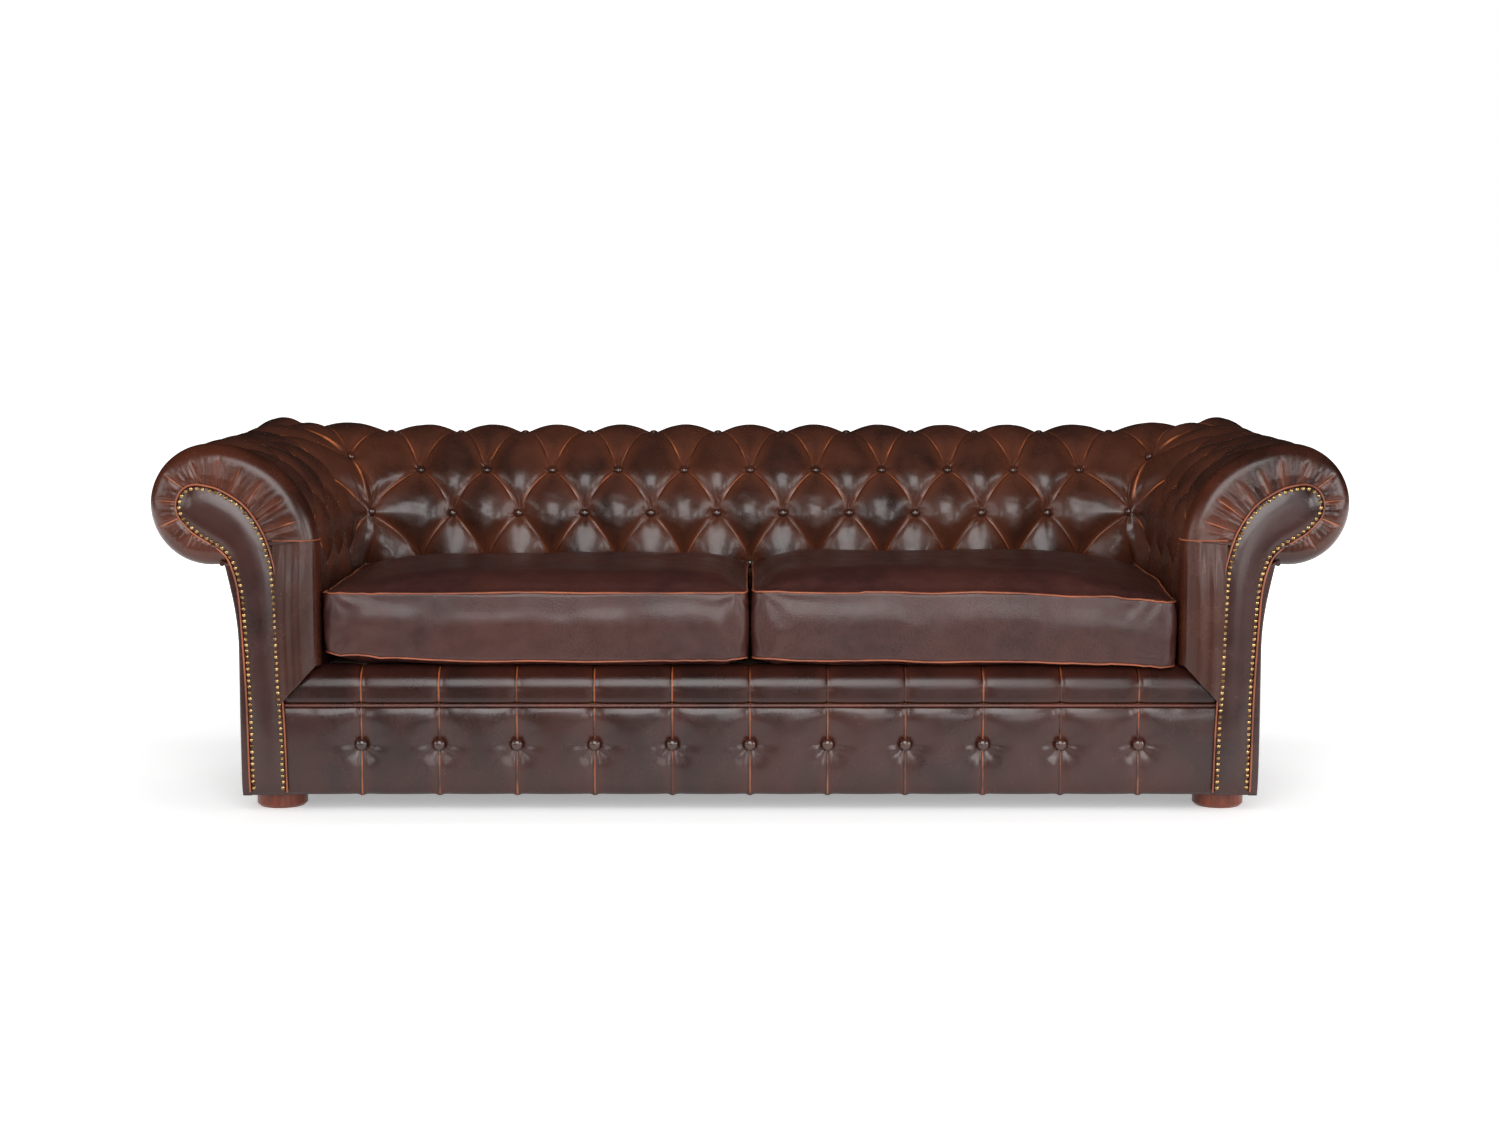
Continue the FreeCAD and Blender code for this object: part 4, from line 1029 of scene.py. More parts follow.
class Finish(Enum):
    """Every finish of the sofa."""

    TUFTED = Leather(
        "tufted leather", (62, 35, 27), (102, 54, 35), (46, 27, 21), line=0.95, roughness=0.25, coat=0.18
    )
    ARM = Leather(
        "tufted arm leather", (57, 32, 25), (94, 50, 33), (45, 26, 20),
        rub=(226, 130, 80), line=1.0, width=0.0045, roughness=0.25, coat=0.18,
    )
    ROLL = Leather(
        "front roll leather", (55, 27, 19), (98, 48, 30), (37, 19, 14),
        line=1.0, spacing=0.06, width=0.0026, pucker=0.0, roughness=0.22, coat=0.12,
    )
    PANEL = Leather(
        "arm panel leather", (58, 27, 18), (84, 40, 25), (44, 21, 15),
        spacing=0.04, pucker=0.0, roughness=0.22, coat=0.1,
    )
    FACING = Leather("facing leather", (55, 30, 27), (71, 37, 29), (43, 24, 22), crackle=0.08, pucker=0.0)
    BORDER = Leather(
        "border leather", (52, 26, 22), (72, 34, 25), (41, 21, 18), spacing=0.15, pucker=0.0, scuff=0.05
    )
    LIP = Leather(
        "lip leather", (46, 22, 18), (66, 31, 22), (36, 18, 15),
        spacing=0.15, pucker=0.0, roughness=0.15, coat=0.0,
    )
    CUSHION = Leather(
        "cushion leather", (65, 35, 32), (84, 45, 36), (52, 28, 26),
        crackle=0.55, mottle_size=0.035, roughness=0.31, scuff=0.35, coat=0.08,
    )
    BUTTON = Leather("button leather", (64, 34, 25), (88, 46, 31), (46, 26, 20), roughness=0.18, coat=0.8)
    PIPING = Leather("piping leather", (152, 80, 50), (176, 98, 62), (104, 52, 36), crackle=0.1, roughness=0.36)
    TRIM = Leather("border piping leather", (84, 38, 26), (112, 54, 36), (58, 27, 20), crackle=0.1, roughness=0.24)
    FEET = Timber("foot wood", (132, 56, 24), (98, 38, 15), (14.0, 14.0, 2.0), 0.35, 0.1)
    FRAME = Timber("frame wood", (196, 164, 120), (160, 126, 86))
    PLY = Timber("panel ply", (190, 158, 116), (150, 118, 80), (14.0, 2.0, 14.0))
    WEBBING = Cloth("webbing weave", (160, 142, 108), (104, 88, 62), 0.002)
    LINING = Cloth("lining weave", (104, 84, 66), (74, 58, 44))
    FELT = Cloth("felt mat", (120, 114, 108), (84, 80, 76), woven=False)
    DUST = Cloth("dust cloth", (44, 44, 44), (26, 26, 26))
    BRASS = Metal("nail brass", (206, 172, 116), (104, 76, 46), 0.16)
    STEEL = Metal("bolt steel", (170, 170, 172), (120, 120, 122), 0.35)


NODE_FINISHES = {
    Finish.FEET: ("front_feet", "rear_feet"),
    Finish.FRAME: (
        "arm_front_stiles", "arm_roll_rail_left", "arm_roll_rail_right", "arm_tack_rails", "back_roll_rail",
        "back_tack_rail", "corner_blocks", "front_rail", "lower_back_rail", "lower_side_rails",
        "rear_corner_posts", "rear_rail", "seat_side_rails", "seat_stretchers",
    ),
    Finish.PLY: ("arm_ribs_left", "arm_ribs_right", "arm_scroll_board_left", "arm_scroll_board_right", "back_ribs"),
    Finish.WEBBING: ("seat_webbing_crosswise", "seat_webbing_lengthwise"),
    Finish.LINING: ("arm_lining_left", "arm_lining_right", "back_lining"),
    Finish.FELT: ("seat_insulator_felt",),
    Finish.STEEL: ("foot_bolts",),
}


class Wardrobe:
    """Builds each finish once, and dresses pieces and nodes with them."""

    def __init__(self) -> None:
        """Builds the shared groups."""
        self.groups = LeatherGroups()
        self.materials: dict[Finish, Material] = {}

    def material(self, finish: Finish) -> Material:
        """The material of a finish.

        Args:
            finish: The finish.

        Returns:
            The material, the same one each time.
        """
        if finish not in self.materials:
            shared = (self.groups,) if isinstance(finish.value, Leather) else ()
            self.materials[finish] = finish.value.build(*shared)
        return self.materials[finish]

    def dress(self, piece: Piece, finish: Finish) -> None:
        """Gives a piece one finish."""
        piece.data.materials.clear()
        piece.data.materials.append(self.material(finish))

    def dress_nodes(self) -> None:
        """Gives each carried-over node its finish."""
        for finish, names in NODE_FINISHES.items():
            for name in names:
                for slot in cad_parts[name].material_slots:
                    slot.material = self.material(finish)


# Geometry Nodes


class GrowTree:
    """A Geometry Nodes tree that grows a piece from the mesh of a carrier."""

    name: str
    sockets: tuple[tuple[str, str, object], ...]

    def __init__(self) -> None:
        """Builds the tree."""
        self.tree = bpy.data.node_groups.new(self.name, "GeometryNodeTree")
        interface = self.tree.interface
        interface.new_socket("Geometry", in_out="INPUT", socket_type="NodeSocketGeometry")
        self.inputs: dict[str, str] = {}
        for label, kind, value in self.sockets:
            socket = interface.new_socket(label, in_out="INPUT", socket_type=kind)
            socket.default_value = value
            self.inputs[label] = socket.identifier
        material = interface.new_socket("Material", in_out="INPUT", socket_type="NodeSocketMaterial")
        self.inputs["Material"] = material.identifier
        interface.new_socket("Geometry", in_out="OUTPUT", socket_type="NodeSocketGeometry")
        graph = Graph(self.tree)
        source, result = graph.add("NodeGroupInput"), graph.add("NodeGroupOutput")
        real = graph.add("GeometryNodeRealizeInstances", {0: self.shape(graph, source)})
        smooth = graph.add("GeometryNodeSetShadeSmooth", {0: real.outputs[0]})
        dressed = {"Geometry": smooth.outputs[0], "Material": source.outputs["Material"]}
        graph.link(graph.add("GeometryNodeSetMaterial", dressed).outputs[0], result.inputs[0])

    def shape(self, graph: Graph, source: Node) -> Socket:
        """Adds the nodes that grow the piece.

        Args:
            graph: The graph of the tree.
            source: The tree's input node.

        Returns:
            The geometry.
        """
        raise NotImplementedError


class ScatterTree(GrowTree):
    """Places a small domed head, square to the surface, on each point of a mesh."""

    name = "domed heads"
    sockets = (
        ("Radius", "NodeSocketFloat", 0.005),
        ("Height", "NodeSocketFloat", 0.003),
        ("Segments", "NodeSocketInt", 10),
        ("Rings", "NodeSocketInt", 6),
    )

    def shape(self, graph: Graph, source: Node) -> Socket:
        """A flattened ball on each point, turned to face outwards.

        Args:
            graph: The tree's graph.
            source: Its input node.

        Returns:
            The geometry.
        """
        sizes = {label: source.outputs[label] for label in ("Segments", "Rings", "Radius")}
        ball = graph.add("GeometryNodeMeshUVSphere", sizes)
        flatness = graph.math("DIVIDE", source.outputs["Height"], source.outputs["Radius"])
        scale = graph.add("ShaderNodeCombineXYZ", {0: 1.0, 1: 1.0, 2: flatness})
        head = graph.add("GeometryNodeTransform", {"Geometry": ball.outputs[0], "Scale": scale.outputs[0]})
        facing = graph.add("GeometryNodeInputNamedAttribute", {"Name": FACING}, data_type="FLOAT_VECTOR")
        turn = graph.add("FunctionNodeAlignRotationToVector", {"Vector": facing.outputs[0]}, axis="Z")
        placing = {"Points": source.outputs["Geometry"], "Instance": head.outputs[0], "Rotation": turn.outputs[0]}
        return graph.add("GeometryNodeInstanceOnPoints", placing).outputs[0]


class CordTree(GrowTree):
    """Sweeps a round section along the edges of a mesh."""

    name = "sewn cord"
    sockets = (("Radius", "NodeSocketFloat", 0.003), ("Sides", "NodeSocketInt", 8))

    def shape(self, graph: Graph, source: Node) -> Socket:
        """A capped tube along each run of edges.

        Args:
            graph: The tree's graph.
            source: Its input node.

        Returns:
            The geometry.
        """
        curve = graph.add("GeometryNodeMeshToCurve", {"Mesh": source.outputs["Geometry"]})
        sizes = {"Resolution": source.outputs["Sides"], "Radius": source.outputs["Radius"]}
        ring = graph.add("GeometryNodeCurvePrimitiveCircle", sizes)
        sweep = {"Curve": curve.outputs[0], "Profile Curve": ring.outputs[0], "Fill Caps": True}
        return graph.add("GeometryNodeCurveToMesh", sweep).outputs[0]


@dataclass(frozen=True)
class Head:
    """The form of a small domed head, with its sizes in metres."""

    radius: float
    height: float
    segments: int
    rings: int


TUFT_BUTTON = Head(0.0094, 0.0058, 14, 8)
BORDER_BUTTON = Head(0.0112, 0.0058, 18, 10)
NAIL = Head(0.0046, 0.0032, 10, 5)


class Workshop:
    """Makes dressed pieces from meshes, some of them grown by the Geometry Nodes trees."""

    def __init__(self, wardrobe: Wardrobe) -> None:
        """Builds the trees.

        Args:
            wardrobe: The wardrobe that dresses the pieces.
        """
        self.wardrobe = wardrobe
        self.scatter = ScatterTree()
        self.cord = CordTree()

    def piece(self, mesh: Mesh, finish: Finish, thickness: float = 0.0) -> Piece:
        """Makes a piece of a mesh, under the mesh's name.

        Args:
            mesh: The mesh.
            finish: The piece's finish.
            thickness: How thick a sheet is made, or 0 for a closed mesh.

        Returns:
            The piece.
        """
        piece = new_object(mesh.name, mesh)
        if thickness:
            thicken(piece, thickness)
        self.wardrobe.dress(piece, finish)
        return piece

    def grow(self, name: str, start: Mesh, tree: GrowTree, finish: Finish, **values: object) -> Piece:
        """Runs a tree on a mesh and keeps the result as a plain piece.

        Args:
            name: The piece's name.
            start: The mesh that carries the points or edges.
            tree: The tree to run.
            finish: The piece's finish.
            **values: The tree's other inputs.

        Returns:
            The piece.
        """
        carrier = new_object(name + "_start", start)
        modifier = carrier.modifiers.new("grow", "NODES")
        modifier.node_group = tree.tree
        for label, value in values.items():
            modifier[tree.inputs[label.title()]] = value
        modifier[tree.inputs["Material"]] = self.wardrobe.material(finish)
        bpy.context.view_layer.update()
        mesh = evaluated(carrier)
        bpy.data.objects.remove(carrier)
        mesh.name = name
        outward(mesh)
        for layer in list(mesh.uv_layers):
            mesh.uv_layers.remove(layer)
        set_pattern(mesh, None, None)
        return self.piece(mesh, finish)

    def heads(self, name: str, places: Heads, finish: Finish, head: Head) -> Piece:
        """Domed heads, such as buttons and nails.

        Args:
            name: The piece's name.
            places: The place and the outward direction of each head.
            finish: Their finish.
            head: Their form.

        Returns:
            The piece.
        """
        mesh = bpy.data.meshes.new(name + "_points")
        mesh.from_pydata([list(map(float, place)) for place, facing in places], [], [])
        directions = mesh.attributes.new(FACING, "FLOAT_VECTOR", "POINT")
        directions.data.foreach_set("vector", np.array([facing for place, facing in places], np.float32).ravel())
        return self.grow(name, mesh, self.scatter, finish, **asdict(head))

    def cords(self, name: str, paths: Sequence[Array], finish: Finish, radius: float, closed: bool = False) -> Piece:
        """Round cords along paths.

        Args:
            name: The piece's name.
            paths: The points of each path.
            finish: The cords' finish.
            radius: Their radius.
            closed: Whether each path is a ring.

        Returns:
            The piece.
        """
        points: list[list[float]] = []
        edges: list[tuple[int, int]] = []
        for path in paths:
            start = len(points)
            points += [list(map(float, point)) for point in path]
            count = len(path)
            edges += [(start + step, start + step + 1) for step in range(count - 1)]
            if closed:
                edges.append((start + count - 1, start))
        mesh = bpy.data.meshes.new(name + "_path")
        mesh.from_pydata(points, edges, [])
        return self.grow(name, mesh, self.cord, finish, radius=radius)


def finish_piece(piece: Piece, body: Body, nodes: Sequence[str] = ()) -> None:
    """Hands a finished piece to the frame.

    Args:
        piece: The piece.
        body: The body that it rides on.
        nodes: The nodes that it stands for.
    """
    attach(piece, body.value)
    if nodes:
        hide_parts(*nodes)
    log.info("%s: %d faces", piece.name, len(piece.data.polygons))


# Tufted padding


Button = tuple[float, float, float, float]


@dataclass(frozen=True)
class Stations:
    """The stations along a run of padding.

    Attributes:
        column: The column of each station.
        along: Its place along the run of padding.
        slope: How far it moves on with the setback.
        mitre: Its share of the way into a corner.
        sign: Which way the corner's columns count.
        puff: How freely it puffs.
    """

    column: Array
    along: Array
    slope: Array
    mitre: Array
    sign: Array
    puff: Array

    def spread(self, count: int) -> Stations:
        """The stations with each value repeated over a number of rows."""
        shape = (len(self.along), count)
        return Stations(*(np.broadcast_to(getattr(self, item.name)[:, None], shape) for item in fields(self)))


@dataclass
class TuftedPad:
    """A run of tufted padding, on the back or on an arm."""

    workshop: Workshop
    steps: int = 36
    row_steps: int = 26
    corner_steps: int = 60
    below_steps: int = 22
    roll_steps: int = 44
    lining_steps: int = 16
    thickness: float = 0.048
    wrinkle: float = 0.0005
    rub_loss: float = 0.7
    rub_loss_runs: tuple[float, float] = (0.19, 0.27)
    button_clear: float = 0.006
    top_button_clear: float = 0.001
    facing_step: float = 0.006

    def runs(self) -> Array:
        """The runs of the grid's rows, evenly spread over the pattern.

        Returns:
            The runs, from the lower edge up and over.
        """
        middle = np.interp(np.linspace(0.0, 3.0, 3 * self.row_steps + 1), ROW_NUMBERS, OUTLINE.rows)
        below = np.linspace(OUTLINE.bottom, OUTLINE.rows[0], self.below_steps, endpoint=False)
        over = np.linspace(OUTLINE.rows[-1], OUTLINE.end, self.roll_steps + 1)[1:]
        return np.concatenate((below, middle, over))

    def mesh(self, name: str, stations: Stations, place: Place) -> Mesh:
        """Builds a closed mesh of padding through its stations.

        Args:
            name: The mesh's name.
            stations: The stations.
            place: A function of along, setback and height that gives points.

        Returns:
            The mesh.
        """
        run = self.runs()
        steps = len(run)
        grid = stations.spread(steps)
        run = np.broadcast_to(run, grid.along.shape)
        columns = BUTTONING.column_at(grid.column, grid.mitre, grid.sign, run)
        one, other = BUTTONING.phases(columns, run)
        inset = BUTTONING.inset(columns, run, grid.mitre, grid.puff)
        inset = inset - self.wrinkles(columns, run) * BUTTONING.pillow(one) * BUTTONING.pillow(other)
        setback, height = OUTLINE.point(run, inset)
        skin = place(grid.along + grid.slope * setback, setback, height)
        points = np.concatenate((skin, self.lining(stations, place)), 1)
        rows, width = points.shape[:2]
        depth = np.zeros((rows, width))
        depth[:, :steps] = inset
        faces = grid_faces(rows, width, depth, wrap=True)
        faces += [tuple(range(width - 1, -1, -1)), tuple(range((rows - 1) * width, rows * width))]
        mesh = new_mesh(name, points.reshape(-1, 3), faces)
        phases = np.full((rows, width, 2), OFF_PLEATS)
        phases[:, :steps] = np.stack((one, other), -1)
        reach = np.zeros((rows, width))
        reach[:, :steps] = 1 - self.rub_loss * ease(*self.rub_loss_runs, run)
        set_pattern(mesh, phases.reshape(-1, 2), reach.ravel())
        return outward(mesh)

    def wrinkles(self, columns: Array, run: Array) -> Array:
        """How far fine wrinkles raise the leather.

        Args:
            columns: The column of each point.
            run: Its run.

        Returns:
            The heights.
        """
        flat = np.stack((columns.ravel(), BUTTONING.row_at(run).ravel()), -1)
        rough = smooth_noise(flat, 0.42, 3) + 0.6 * smooth_noise(flat, 0.17, 5)
        return self.wrinkle * rough.reshape(run.shape)

    def lining(self, stations: Stations, place: Place) -> Array:
        """The points of the back of the padding, from its tacked end down.

        Args:
            stations: The stations.
            place: A function of along, setback and height.

        Returns:
            The points.
        """
        grid = stations.spread(self.lining_steps)
        run = np.broadcast_to(np.linspace(OUTLINE.end, OUTLINE.bottom, self.lining_steps), grid.along.shape)
        setback, height = OUTLINE.point(run, self.thickness)
        return place(grid.along + grid.slope * setback, setback, height)

    def button_places(self, buttons: Sequence[Button], place: Place) -> Heads:
        """Places and directions of buttons.

        Args:
            buttons: The along, slope, mitre and run of each button.
            place: A function of along, setback and height that gives points.

        Returns:
            The place and the outward direction of each button.
        """
        found = []
        for along, slope, mitre, run in buttons:
            clear = self.top_button_clear if run == OUTLINE.rows[-1] else self.button_clear
            row_run = np.array(run)
            base = float(BUTTONING.pleat_depth(row_run)) - float(BUTTONING.fill(row_run)) * mitre**2
            ends = []
            for inset in (base - clear, base - clear - self.facing_step):
                setback, height = OUTLINE.point(run, inset)
                ends.append(place(along + slope * setback, setback, height))
            facing = ends[1] - ends[0]
            found.append((ends[0], facing / np.linalg.norm(facing)))
        return found


@dataclass
class TuftedBack(TuftedPad):
    """The buttoned padding of the back, mitred into both rear corners."""

    half_pitches: int = 5
    corner_share: float = 0.82

    @property
    def pitch(self) -> float:
        """The distance between columns of buttons."""
        return ARM_FACE / (self.half_pitches + self.corner_share)

    def build(self) -> None:
        """Builds the padding and its buttons."""
        pad = self.workshop.piece(self.mesh("back_padding", self.stations(), on_back), Finish.TUFTED)
        finish_piece(pad, Body.FRAME, ["back_tufted_pad"])
        places = self.button_places(self.buttons(), on_back)
        buttons = self.workshop.heads("back_buttons", places, Finish.BUTTON, TUFT_BUTTON)
        finish_piece(buttons, Body.FRAME, ["back_tuft_buttons"])

    def stations(self) -> Stations:
        """The stations from one rear corner to the other.

        Returns:
            The stations.
        """
        last = self.half_pitches
        middle = np.arange(-last * self.steps, last * self.steps + 1) / self.steps
        share = np.arange(1, self.corner_steps + 1) / self.corner_steps
        column = np.concatenate((np.full(len(share), -last), middle, np.full(len(share), last)))
        mitre = np.concatenate((share[::-1], np.zeros(len(middle)), share))
        sign = np.sign(np.where(column == 0, 1.0, column))
        start = column * self.pitch
        along = start + mitre * (sign * ARM_FACE - start)
        return Stations(column, along, mitre * sign, mitre, sign, np.ones(len(along)))

    def buttons(self) -> list[Button]:
        """The buttons of the back, and then those of its corners.

        Returns:
            The buttons.
        """
        last = self.half_pitches
        found: list[Button] = []
        for row, run in enumerate(OUTLINE.rows):
            shifted = row % 2
            for number in range(2 * last + 1 - shifted):
                found.append(((number - last + shifted / 2) * self.pitch, 0.0, 0.0, run))
        for side in (-1, 1):
            found += [(side * ARM_FACE, side, 1.0, run) for run in OUTLINE.rows[:-1]]
            start = side * last * self.pitch
            for mitre in BUTTONING.top_mitres:
                found.append((start + mitre * (side * ARM_FACE - start), side * mitre, mitre, OUTLINE.rows[-1]))
        return found


@dataclass
class TuftedArm(TuftedPad):
    """The buttoned padding of one arm, from the rear corner to the crease behind the front roll."""

    side: Side = Side.LEFT
    pitches: int = 3
    corner_share: float = 0.67
    puff_pitches: float = 0.5

    @property
    def pitch(self) -> float:
        """The distance between columns of buttons."""
        return (BACK_FACE - CREASE) / (self.pitches + self.corner_share)

    @property
    def first(self) -> float:
        """Y of the rearmost column of buttons."""
        return BACK_FACE - self.corner_share * self.pitch

    def place(self, along: Array, setback: Array, height: Array) -> Array:
        """Points of this arm."""
        return on_arm(along, setback, height, self.side)

    def build(self) -> Piece:
        """Builds the padding.

        Returns:
            The piece.
        """
        return self.workshop.piece(
            self.mesh(f"arm_padding_{self.side.suffix}", self.stations(), self.place), Finish.ARM
        )

    def stations(self) -> Stations:
        """The stations from the rear corner forward to the crease.

        Returns:
            The stations.
        """
        share = np.arange(1, self.corner_steps + 1)[::-1] / self.corner_steps
        plain = np.arange(0, self.pitches * self.steps + 1) / self.steps
        column = np.concatenate((np.zeros(len(share)), plain))
        mitre = np.concatenate((share, np.zeros(len(plain))))
        along = np.concatenate((self.first + share * (BACK_FACE - self.first), self.first - plain * self.pitch))
        puff = np.concatenate((np.ones(len(share)), (self.pitches - plain) / self.puff_pitches))
        return Stations(column, along, mitre, mitre, -np.ones(len(along)), puff)

    def buttons(self) -> Heads:
        """The places of this arm's buttons.

        Returns:
            The place and the outward direction of each button.
        """
        buttons: list[Button] = []
        for row, run in enumerate(OUTLINE.rows):
            for number in range(self.pitches):
                buttons.append((self.first - (number + row % 2 / 2) * self.pitch, 0.0, 0.0, run))
        for mitre in BUTTONING.top_mitres:
            buttons.append((self.first + mitre * (BACK_FACE - self.first), mitre, mitre, OUTLINE.rows[-1]))
        return self.button_places(buttons, self.place)


# Front of the arms


FACING_OUTLINE = (
    (67, 37), (70, 172), (75, 254), (77, 336), (79, 399), (83, 479), (90, 506), (97, 531), (104.5, 551),
    (119.5, 578.5), (140.6, 607), (165.6, 624.6), (193, 639.5), (213, 644), (235, 648), (253, 643), (265, 631),
    (271.5, 616), (272.7, 598), (266, 581), (254, 567), (240.5, 553.5), (218, 538.7), (195.5, 526),
    (180.5, 513.7), (170.5, 499), (164, 481), (159, 464), (154, 439), (151, 407), (145, 305), (141, 223),
    (139, 76), (137, 37),
)
FACING_STEP = 0.005
FACING_RING = resampled(rounded(np.array(FACING_OUTLINE, float) / 1000, 2), FACING_STEP, True)


@dataclass
class Facing:
    """The nailed, piped S-shaped facing on the front of one arm."""

    workshop: Workshop
    side: Side
    edge_y: float = -0.4625
    back_y: float = -0.4596
    dome: float = 0.0075
    reach: float = 0.036
    grid: float = 0.007
    grid_margin: float = 0.003
    piping_radius: float = 0.0019
    piping_clear: float = 0.001
    piping_step: float = 0.006
    piping_bottom: float = 0.0395
    nail_inset: float = 0.0065
    nail_pitch: float = 0.0117
    nail_bottom: float = 0.0475
    nail_sink: float = 0.0004
    nail_gap: float = 0.02
    dent: float = 0.0012
    dent_width: float = 0.004

    def height_at(self, distance: Array) -> Array:
        """The Y of the facing's surface at a distance from its edge.

        Args:
            distance: The distances.

        Returns:
            The Y of each point.
        """
        swell = np.sin(np.clip(distance / self.reach, 0, 1) * math.pi / 2)
        line = np.exp(-(((distance - self.nail_inset) / self.dent_width) ** 2))
        return self.edge_y - self.dome * swell + self.dent * line

    def build(self) -> None:
        """Builds the facing, its piping and its nails."""
        points, triangles = self.flat()
        count = len(points)
        depth = self.height_at(edge_distance(points, FACING_RING))
        front = on_arm(depth, points[:, 0], points[:, 1], self.side)
        back = on_arm(np.full(count, self.back_y), points[:, 0], points[:, 1], self.side)
        faces = triangles + [tuple(count + corner for corner in face[::-1]) for face in triangles]
        edges = dict.fromkeys(edge for face in triangles for edge in zip(face, face[1:] + face[:1]))
        faces += [(other, one, count + one, count + other) for one, other in edges if (other, one) not in edges]
        mesh = outward(new_mesh(f"facing_{self.side.suffix}", np.vstack((front, back)), faces))
        set_pattern(mesh, None, None)
        piece = self.workshop.piece(mesh, Finish.FACING)
        finish_piece(piece, Body.FRAME, [f"scroll_facing_{self.side.suffix}"])
        self.piping()
        self.nails()

    def flat(self) -> tuple[Array, list[tuple[int, ...]]]:
        """Points and triangles that fill the outline.

        Returns:
            Setbacks and heights of the points, and the point numbers of each triangle.
        """
        ring = FACING_RING
        low, high = ring.min(0), ring.max(0)
        across, up = np.meshgrid(np.arange(low[0], high[0], self.grid), np.arange(low[1], high[1], self.grid))
        inner = np.stack((across.ravel(), up.ravel()), -1)
        inner = inner[inside(inner, ring)]
        inner = inner[edge_distance(inner, ring) > self.grid_margin]
        edges = [(step, (step + 1) % len(ring)) for step in range(len(ring))]
        result = delaunay_2d_cdt([Vector(point) for point in np.vstack((ring, inner))], edges, [], 1, 1e-7)
        points = np.array([list(point) for point in result[0]])
        triangles = [tuple(face) for face in result[2] if len(face) == 3]
        centres = np.array([points[list(face)].mean(0) for face in triangles])
        return points, [face for face, kept in zip(triangles, inside(centres, ring)) if kept]

    @staticmethod
    def inset_ring(inset: float) -> Array:
        """The outline drawn in by a distance.

        Args:
            inset: The distance, less than 0 to draw it out.

        Returns:
            The new outline.
        """
        tangent = np.roll(FACING_RING, -1, axis=0) - np.roll(FACING_RING, 1, axis=0)
        normal = np.stack((-tangent[:, 1], tangent[:, 0]), -1)
        normal /= np.linalg.norm(normal, axis=1)[:, None]
        inwards = inside(FACING_RING + normal * FACING_STEP, FACING_RING).mean() > 0.5
        return FACING_RING + normal * (inset if inwards else -inset)

    def piping(self) -> None:
        """Adds the piping on the edge, open at the bottom."""
        edge = resampled(self.inset_ring(-self.piping_clear), self.piping_step, True)
        bottom = edge[:, 1] < self.piping_bottom
        count = int(bottom.sum())
        first = int(np.argmax(bottom & ~np.roll(bottom, 1)))
        run = np.roll(edge, -first - count, axis=0)[: len(edge) - count]
        path = on_arm(np.full(len(run), self.edge_y - self.piping_clear), run[:, 0], run[:, 1], self.side)
        piping = self.workshop.cords(f"facing_piping_{self.side.suffix}", [path], Finish.PIPING, self.piping_radius)
        finish_piece(piping, Body.FRAME)

    def nails(self) -> None:
        """Adds the nails inside the edge, open at the bottom."""
        line = self.inset_ring(self.nail_inset)
        clear = edge_distance(line, FACING_RING) > self.nail_inset * 0.8
        line = line[(line[:, 1] > self.nail_bottom) & clear]
        gaps = np.linalg.norm(np.diff(line, axis=0), axis=1)
        split = int(np.argmax(gaps)) + 1 if gaps.max() > self.nail_gap else 0
        line = resampled(np.roll(line, -split, axis=0), self.nail_pitch, False)
        depth = self.height_at(np.full(len(line), self.nail_inset)) - self.nail_sink
        places = [(spot, FORWARD) for spot in on_arm(depth, line[:, 0], line[:, 1], self.side)]
        nails = self.workshop.heads(f"facing_nails_{self.side.suffix}", places, Finish.BRASS, NAIL)
        finish_piece(nails, Body.FRAME)


